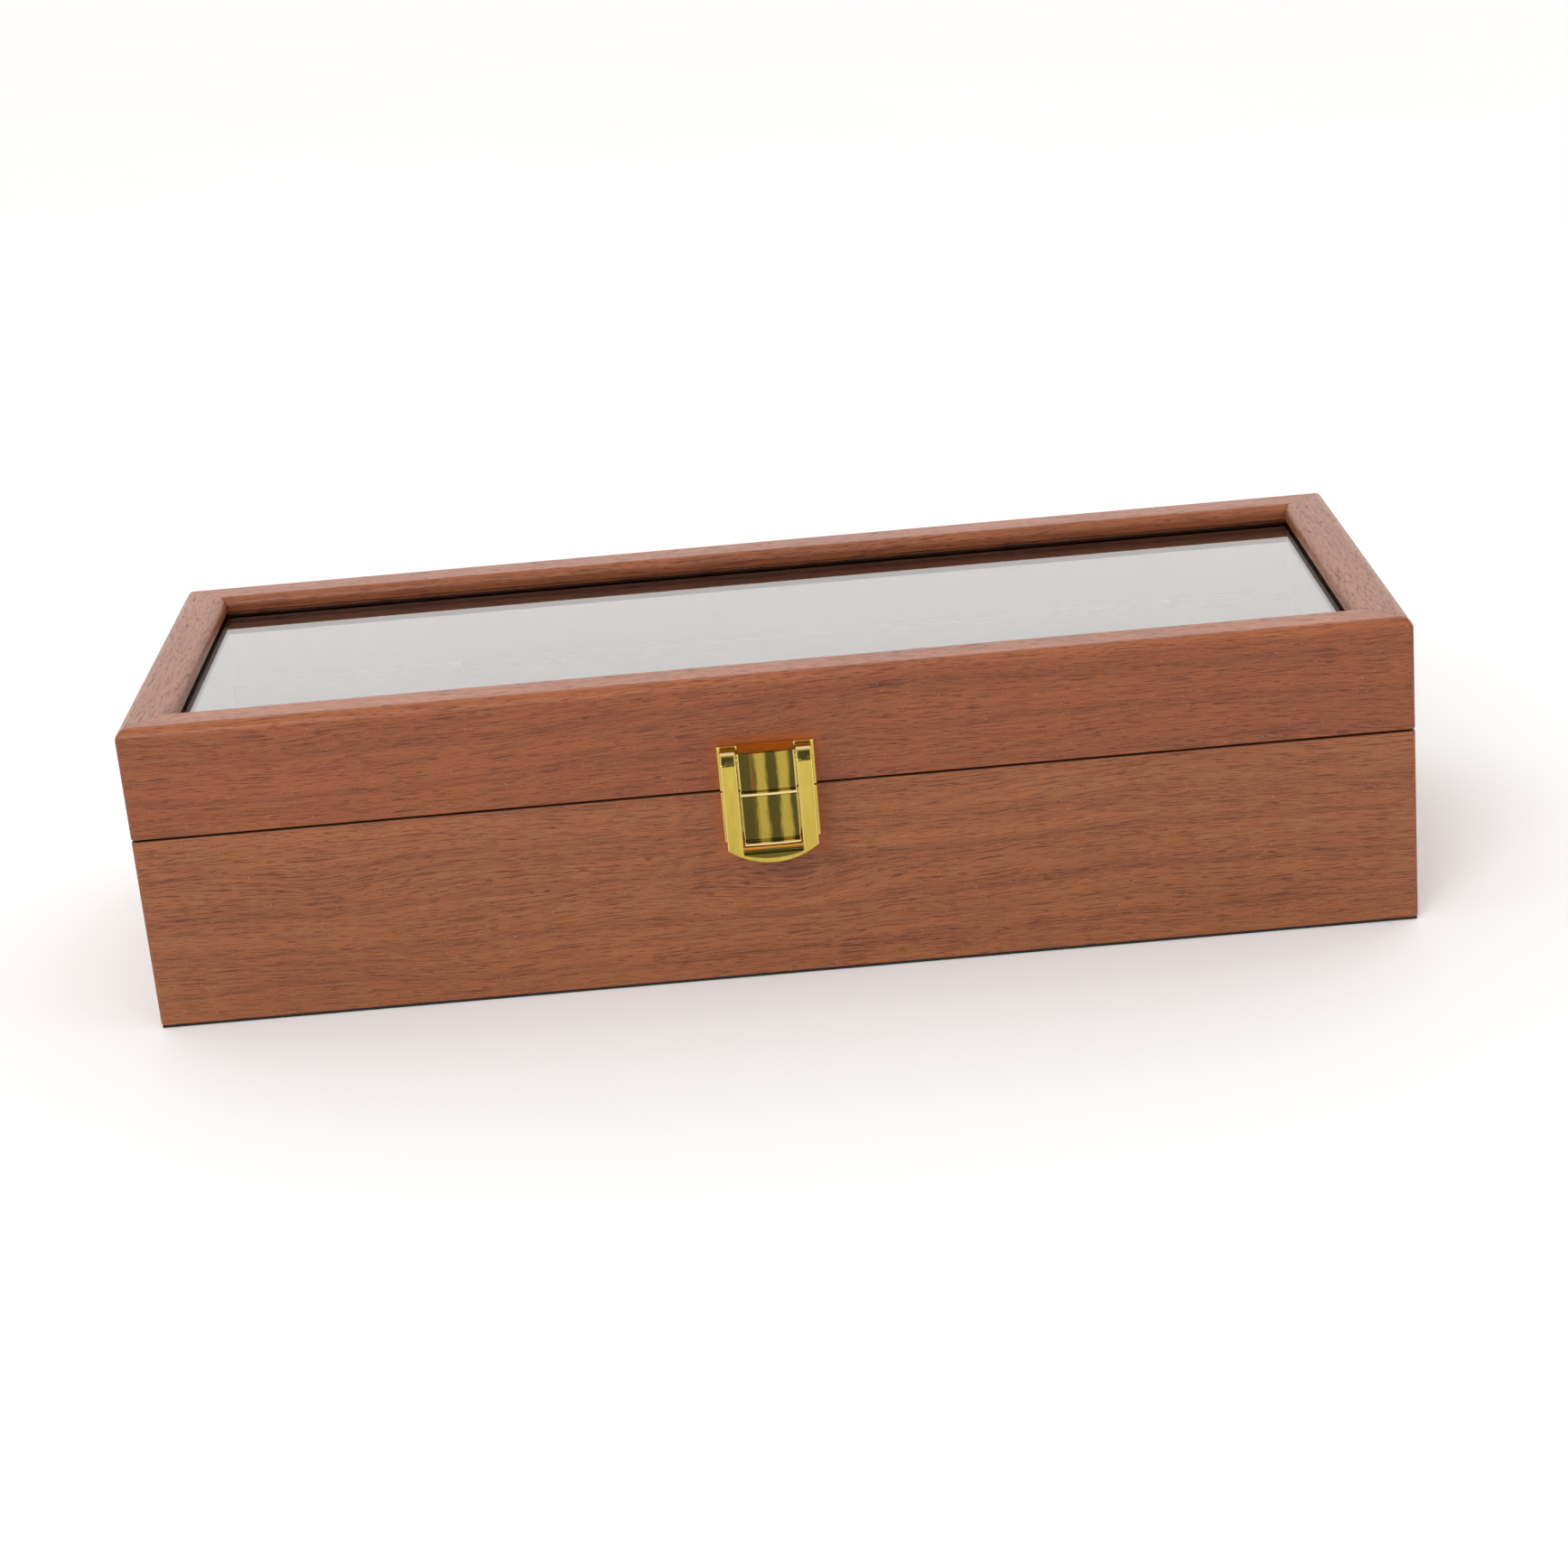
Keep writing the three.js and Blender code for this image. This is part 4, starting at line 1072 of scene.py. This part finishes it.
def make_hinges():
    for side in ("left", "right"):
        pin_node = f"hinge_pin_{side}"
        axis = middle(pin_node)
        half = (high(pin_node).x - low(pin_node).x) / 2 / MM
        pin_radius = (high(pin_node).z - low(pin_node).z) / 2 / MM

        def along(u, v, x):
            return axis + Vector((x, u, v)) * MM

        ends = dome(pin_radius, PIN_DOME, half - PIN_DOME)
        start = [(radius, -place) for radius, place in reversed(ends)]
        pin = turned([*start, *ends], along, 32)
        pin.name = f"{pin_node}_brass"
        smooth(pin.data, 40)
        finish_piece(pin, "base", [pin_node], BRASS)
        for owner, up in (("base", -1), ("lid", 1)):
            make_leaf(side, owner, up, axis, half, along)
            for number in (1, 2):
                make_screw(f"hinge_screw_{owner}_{side}_{number}", owner, up)


def make_leaf(side, owner, up, axis, half, along):
    """One leaf: its plate, its knuckles on the pin's line, and holes for the screws."""
    node = f"hinge_leaf_{owner}_{side}"
    front = (low(node).y - axis.y) / MM
    plate_end = -KNUCKLE_RADIUS - KNUCKLE_PLAY
    z0, z1 = sorted((up * LEAF_GAP, up * (LEAF_GAP + LEAF_THICK)))
    plate = slab((front, z0, -half), (plate_end, z1, half), along)
    added = []
    for x0, x1 in KNUCKLES[owner]:
        ring = [(0, x0), (KNUCKLE_RADIUS, x0), (KNUCKLE_RADIUS, x1), (0, x1)]
        added.append(slab((plate_end - 1, z0, x0), (0.0, z1, x1), along))
        added.append(turned(ring, along, 48))
    reach = half + 1
    cuts = [turned([(0, -reach), (HINGE_BORE, -reach), (HINGE_BORE, reach), (0, reach)], along, 32)]
    for number in (1, 2):
        hole, _ = screw_solid(f"hinge_screw_{owner}_{side}_{number}", up, SCREW_PLAY)
        cuts.append(hole)
    leaf = assemble(f"{node}_brass", plate, added, cuts)
    bevel(leaf, HINGE_EDGE * MM, 2)
    even_normals(leaf)
    finish_piece(leaf, owner, [node], BRASS)


def screw_solid(node, up, play):
    """
    A countersunk screw with its head flush with the leaf's face, and the function that turns
    u, v and the height over that face into a point.
    """
    place = middle(node)
    face = low(node).z if up > 0 else high(node).z
    length = (high(node).z - low(node).z) / MM
    head = (high(node).x - low(node).x) / 2 / MM

    def down(u, v, along):
        return Vector((place.x + u * MM, place.y + v * MM, face - up * along * MM))

    shank = SCREW_SHANK + play
    profile = [
        (0, -length),
        (shank, -length + SCREW_POINT),
        (shank, -SCREW_HEAD_DEPTH),
        (head + play, 0.0),
        (0, 0.0),
    ]
    return turned(profile, down, 32), down


def make_screw(node, owner, up):
    screw, down = screw_solid(node, up, 0.0)
    cross = [
        slab((-u, -v, -SLOT_DEPTH), (u, v, 0.5), down)
        for u, v in ((SLOT_LONG, SLOT_WIDE), (SLOT_WIDE, SLOT_LONG))
    ]
    assemble(f"{node}_brass", screw, [], cross)
    bevel(screw, SCREW_EDGE * MM, 2)
    even_normals(screw)
    finish_piece(screw, owner, [node], BRASS)


make_plates()
make_lever()
make_latch_pins()
make_hinges()

# ---- Covered boards: lining, dividers and felt -----------


def covered_board(node, cover, edge, swell, material, step=5.0):
    """A thin board under cloth: rounded edges, and faces that are never quite flat."""
    corner0, corner1 = low(node), high(node)
    size = corner1 - corner0
    bm = block(corner0, corner1)
    bmesh.ops.bevel(
        bm, geom=bm.edges, offset=edge * MM, segments=4, profile=0.5, affect="EDGES"
    )
    for axis in range(3):
        count = int(size[axis] / MM / step)
        for i in range(1, count):
            at = corner0.copy()
            at[axis] += size[axis] * i / count
            normal = Vector((0, 0, 0))
            normal[axis] = 1
            geom = bm.verts[:] + bm.edges[:] + bm.faces[:]
            bmesh.ops.bisect_plane(bm, geom=geom, plane_co=at, plane_no=normal)
    bm.normal_update()
    for vert in bm.verts:
        ripple = noise.noise(vert.co / MM * 0.11) + 0.5 * noise.noise(vert.co / MM * 0.31)
        vert.co -= vert.normal * (0.6 + 0.6 * ripple) * swell * MM
    piece = solid_from(bm, f"{node}_{cover}")
    smooth(piece.data, 50)
    finish_piece(piece, "base", [node], material)


def make_covered_boards():
    for side in ("floor", "front", "right", "back", "left"):
        covered_board(f"lining_{side}", "velvet", 0.6, 0.07, VELVET)
    for node in numbered("divider"):
        covered_board(node, "velvet", 1.3, 0.1, VELVET)
    covered_board("base_felt", "sheet", 0.3, 0.05, felt("wool_felt"), 8.0)


make_covered_boards()

# ---- Cushions --------------------------------------------

CUSHION_SQUARENESS = 2.7
CUSHION_REMESH = 2.6 * MM
CUSHION_FRAMES = 20
SEAM_FROM_END = 5.5 * MM
WELT_RADIUS = 0.55 * MM
MOST_MOVEMENT = 2.2 * MM


def cushion_start(size):
    """A pillow about the origin: squarish from the side, rounded towards its two ends."""
    bm = bmesh.new()
    half_x, half_y, half_z = (length / 2 for length in size)
    power = 2 / CUSHION_SQUARENESS
    steps = 56
    sections = []
    for t in (-1.0, -0.97, -0.9, -0.78, -0.6, -0.35, 0.0, 0.35, 0.6, 0.78, 0.9, 0.97, 1.0):
        shrink = (1 - abs(t) ** 5) ** 0.5 * 0.34 + 0.66
        ring = []
        for i in range(steps):
            angle = 2 * math.pi * i / steps
            c, s = math.cos(angle), math.sin(angle)
            y = half_y * math.copysign(abs(c) ** power, c) * (0.5 + 0.5 * shrink)
            z = half_z * math.copysign(abs(s) ** power, s) * shrink
            ring.append(bm.verts.new((half_x * t, y, z)))
        sections.append(ring)
    bridge(bm, sections)
    bm.faces.new(sections[0])
    bm.faces.new(sections[-1])
    return solid_from(bm, "cushion_shell")


def remesh(piece, size):
    modifier = piece.modifiers.new("remesh", "REMESH")
    modifier.mode = "VOXEL"
    modifier.voxel_size = size
    apply_modifiers(piece)


def stuff(piece, half_x):
    """Blow the cover up against its two sewn end seams, as stuffing does."""
    seam = piece.vertex_groups.new(name="seam")
    held = [
        vert.index
        for vert in piece.data.vertices
        if abs(abs(vert.co.x) - (half_x - SEAM_FROM_END)) < 1.4 * MM
    ]
    seam.add(held, 1.0, "REPLACE")
    cloth = piece.modifiers.new("cloth", "CLOTH")
    settings = cloth.settings
    settings.quality = 6
    settings.mass = 0.15
    settings.use_pressure = True
    settings.uniform_pressure_force = 4.0
    settings.effector_weights.gravity = 0
    settings.shrink_min = -0.012
    settings.bending_stiffness = 3.0
    settings.vertex_group_mass = "seam"
    settings.pin_stiffness = 0.6
    cloth.point_cache.frame_start = 1
    cloth.point_cache.frame_end = CUSHION_FRAMES
    for number in range(1, CUSHION_FRAMES + 1):
        bpy.context.scene.frame_set(number)
        bpy.context.view_layer.update()
    apply_modifiers(piece)
    bpy.context.scene.frame_set(1)


def stuffed_cushion(size):
    """One sewn and stuffed cushion about the origin, kept inside its allowed size."""
    start = Vector(size) - Vector((2.0, 3.0, 3.0)) * MM
    piece = cushion_start(start)
    remesh(piece, CUSHION_REMESH)
    before = [vert.co.copy() for vert in piece.data.vertices]
    stuff(piece, start.x / 2)
    for vert, home in zip(piece.data.vertices, before):
        move = vert.co - home
        if move.length > MOST_MOVEMENT:
            vert.co = home + move.normalized() * MOST_MOVEMENT
    reach = [max(abs(vert.co[axis]) for vert in piece.data.vertices) for axis in range(3)]
    room = [size[axis] / 2 - WELT_RADIUS for axis in range(3)]
    fit = [min(1.0, room[axis] / reach[axis]) for axis in range(3)]
    for vert in piece.data.vertices:
        vert.co = Vector(vert.co[axis] * fit[axis] for axis in range(3))
    ease = piece.modifiers.new("ease", "SMOOTH")
    ease.factor = 0.5
    ease.iterations = 4
    modifier = piece.modifiers.new("smooth", "SUBSURF")
    modifier.levels = 1
    modifier.render_levels = 1
    apply_modifiers(piece)
    return piece


def seam_loop(mesh, at_x):
    """The points where the cover crosses a plane across the cushion, in order round it."""
    bm = bmesh.new()
    bm.from_mesh(mesh)
    geom = bm.verts[:] + bm.edges[:] + bm.faces[:]
    cut = bmesh.ops.bisect_plane(bm, geom=geom, plane_co=(at_x, 0, 0), plane_no=(1, 0, 0))
    points = [item.co.copy() for item in cut["geom_cut"] if isinstance(item, bmesh.types.BMVert)]
    bm.free()
    return sorted(points, key=lambda point: math.atan2(point.z, point.y))


def welt(points):
    """A corded edge sewn along the loop, with the thread's twist as small swellings."""
    bm = bmesh.new()
    around = 8
    rings = []
    count = len(points)
    centre = sum(points, Vector()) / count
    for i, point in enumerate(points):
        ahead = (points[(i + 1) % count] - points[i - 1]).normalized()
        out = (point - centre).normalized()
        out = (out - ahead * out.dot(ahead)).normalized()
        side = ahead.cross(out)
        radius = WELT_RADIUS * (1.0 + 0.12 * math.sin(i * 2.1))
        ring = []
        for k in range(around):
            angle = 2 * math.pi * k / around
            spot = point + (out * math.cos(angle) + side * math.sin(angle)) * radius
            ring.append(bm.verts.new(spot))
        rings.append(ring)
    bridge(bm, rings + rings[:1])
    return solid_from(bm, "welt")


def make_cushions():
    size = high("cushion_1") - low("cushion_1")
    pattern = stuffed_cushion(size)
    seam_x = size.x / 2 - SEAM_FROM_END
    parts = [pattern]
    for at_x in (-seam_x, seam_x):
        parts.append(welt(seam_loop(pattern.data, at_x)))
    bm = bmesh.new()
    for part in parts:
        bm.from_mesh(part.data)
    for number, node in enumerate(numbered("cushion"), 1):
        place = middle(node)
        flip = -1 if number % 2 == 0 else 1
        copy = bm.copy()
        for vert in copy.verts:
            home = vert.co
            dent = noise.noise(home / MM * 0.05 + Vector((number * 7.3, 0, 0)))
            dent -= 0.6
            shrunk = home * (1.0 + 0.012 * dent)
            vert.co = place + Vector((flip * shrunk.x, flip * shrunk.y, shrunk.z))
        piece = solid_from(copy, f"{node}_pillow")
        piece.data.shade_smooth()
        finish_piece(piece, node, [node], CUSHION)
    bm.free()
    for part in parts:
        bpy.data.objects.remove(part, do_unlink=True)


make_cushions()

# ---- Carried-over CAD pieces -----------------------------


def dress(node, material):
    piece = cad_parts[node]
    piece.data.materials.clear()
    piece.data.materials.append(material)


dress("lid_glass", clear_glass("clear_glass"))
dress("bottom_panel", plywood("plywood"))

# ---- Stage, light and camera -----------------------------

# The camera stands where it sees the box as the photograph does: a little over 20 degrees
# down, almost square to the front, and leaning 5 degrees so that the box rises to the right.
CAMERA_PLACE = Vector((5.08, -797.1, 322.6)) * MM
CAMERA_YAW = -0.178
CAMERA_PITCH = 20.23
CAMERA_ROLL = -5.065
CAMERA_LENS = 72.66
SENSOR = 36.0
SURROUNDINGS = 0.87  # strengths of the white light
BACKDROP = 1.94


def make_camera():
    data = bpy.data.cameras.new("camera")
    data.lens = CAMERA_LENS
    data.sensor_width = SENSOR
    data.clip_start = 0.01
    camera = bpy.data.objects.new("camera", data)
    bpy.context.scene.collection.objects.link(camera)
    level = Matrix.Rotation(math.radians(90 - CAMERA_PITCH), 4, "X")
    turn = Matrix.Rotation(math.radians(-CAMERA_YAW), 4, "Z")
    lean = Matrix.Rotation(math.radians(CAMERA_ROLL), 4, "Z")
    camera.matrix_world = Matrix.Translation(CAMERA_PLACE) @ turn @ level @ lean
    bpy.context.scene.camera = camera


def make_floor():
    bm = bmesh.new()
    bmesh.ops.create_circle(bm, cap_ends=True, radius=9.0, segments=96)
    floor = new_object("floor", mesh_from(bm, "floor"))
    s = Shader("pale_floor")
    x, y, z = s.place()
    mottle = s.noise(s.vector(s.mul(x, 0.004), s.mul(y, 0.004), 0.0), 2.0)
    s.set(Base_Color=s.mix(mottle, rgb(0.93, 0.93, 0.93), rgb(0.96, 0.96, 0.96)))
    s.set(Roughness=0.9, Specular_IOR_Level=0.1)
    floor.data.materials.append(s.material)


def make_world():
    """White surroundings, brighter low down behind the box, where a lit backdrop stands."""
    world = bpy.data.worlds.new("studio")
    n = Nodes(world)
    look = n.node("ShaderNodeTexCoord", {}).outputs["Generated"]
    toward = n.node("ShaderNodeSeparateXYZ", {0: look}).outputs
    behind = n.span(toward[1], 0.0, 0.7)
    near_floor = n.span(toward[2], 0.75, 0.45)
    lit = n.mul(behind, near_floor)
    strength = n.span(lit, 0.0, 1.0, SURROUNDINGS, BACKDROP)
    background = n.node("ShaderNodeBackground", {0: rgb(1.0, 0.985, 0.975), 1: strength})
    n.node("ShaderNodeOutputWorld", {0: background.outputs[0]})
    bpy.context.scene.world = world


def area_light(name, place, target, size, power):
    data = bpy.data.lights.new(name, "AREA")
    data.shape = "DISK"
    data.size = size
    data.energy = power
    light = bpy.data.objects.new(name, data)
    aim = (Vector(target) - Vector(place)).to_track_quat("-Z", "Y")
    light.matrix_world = Matrix.Translation(place) @ aim.to_matrix().to_4x4()
    bpy.context.scene.collection.objects.link(light)


make_camera()
make_floor()
make_world()
area_light("front_soft", (-0.7, -1.6, 1.3), (0, 0, 0.04), 1.1, 14.0)
bpy.context.scene.view_settings.view_transform = "Standard"
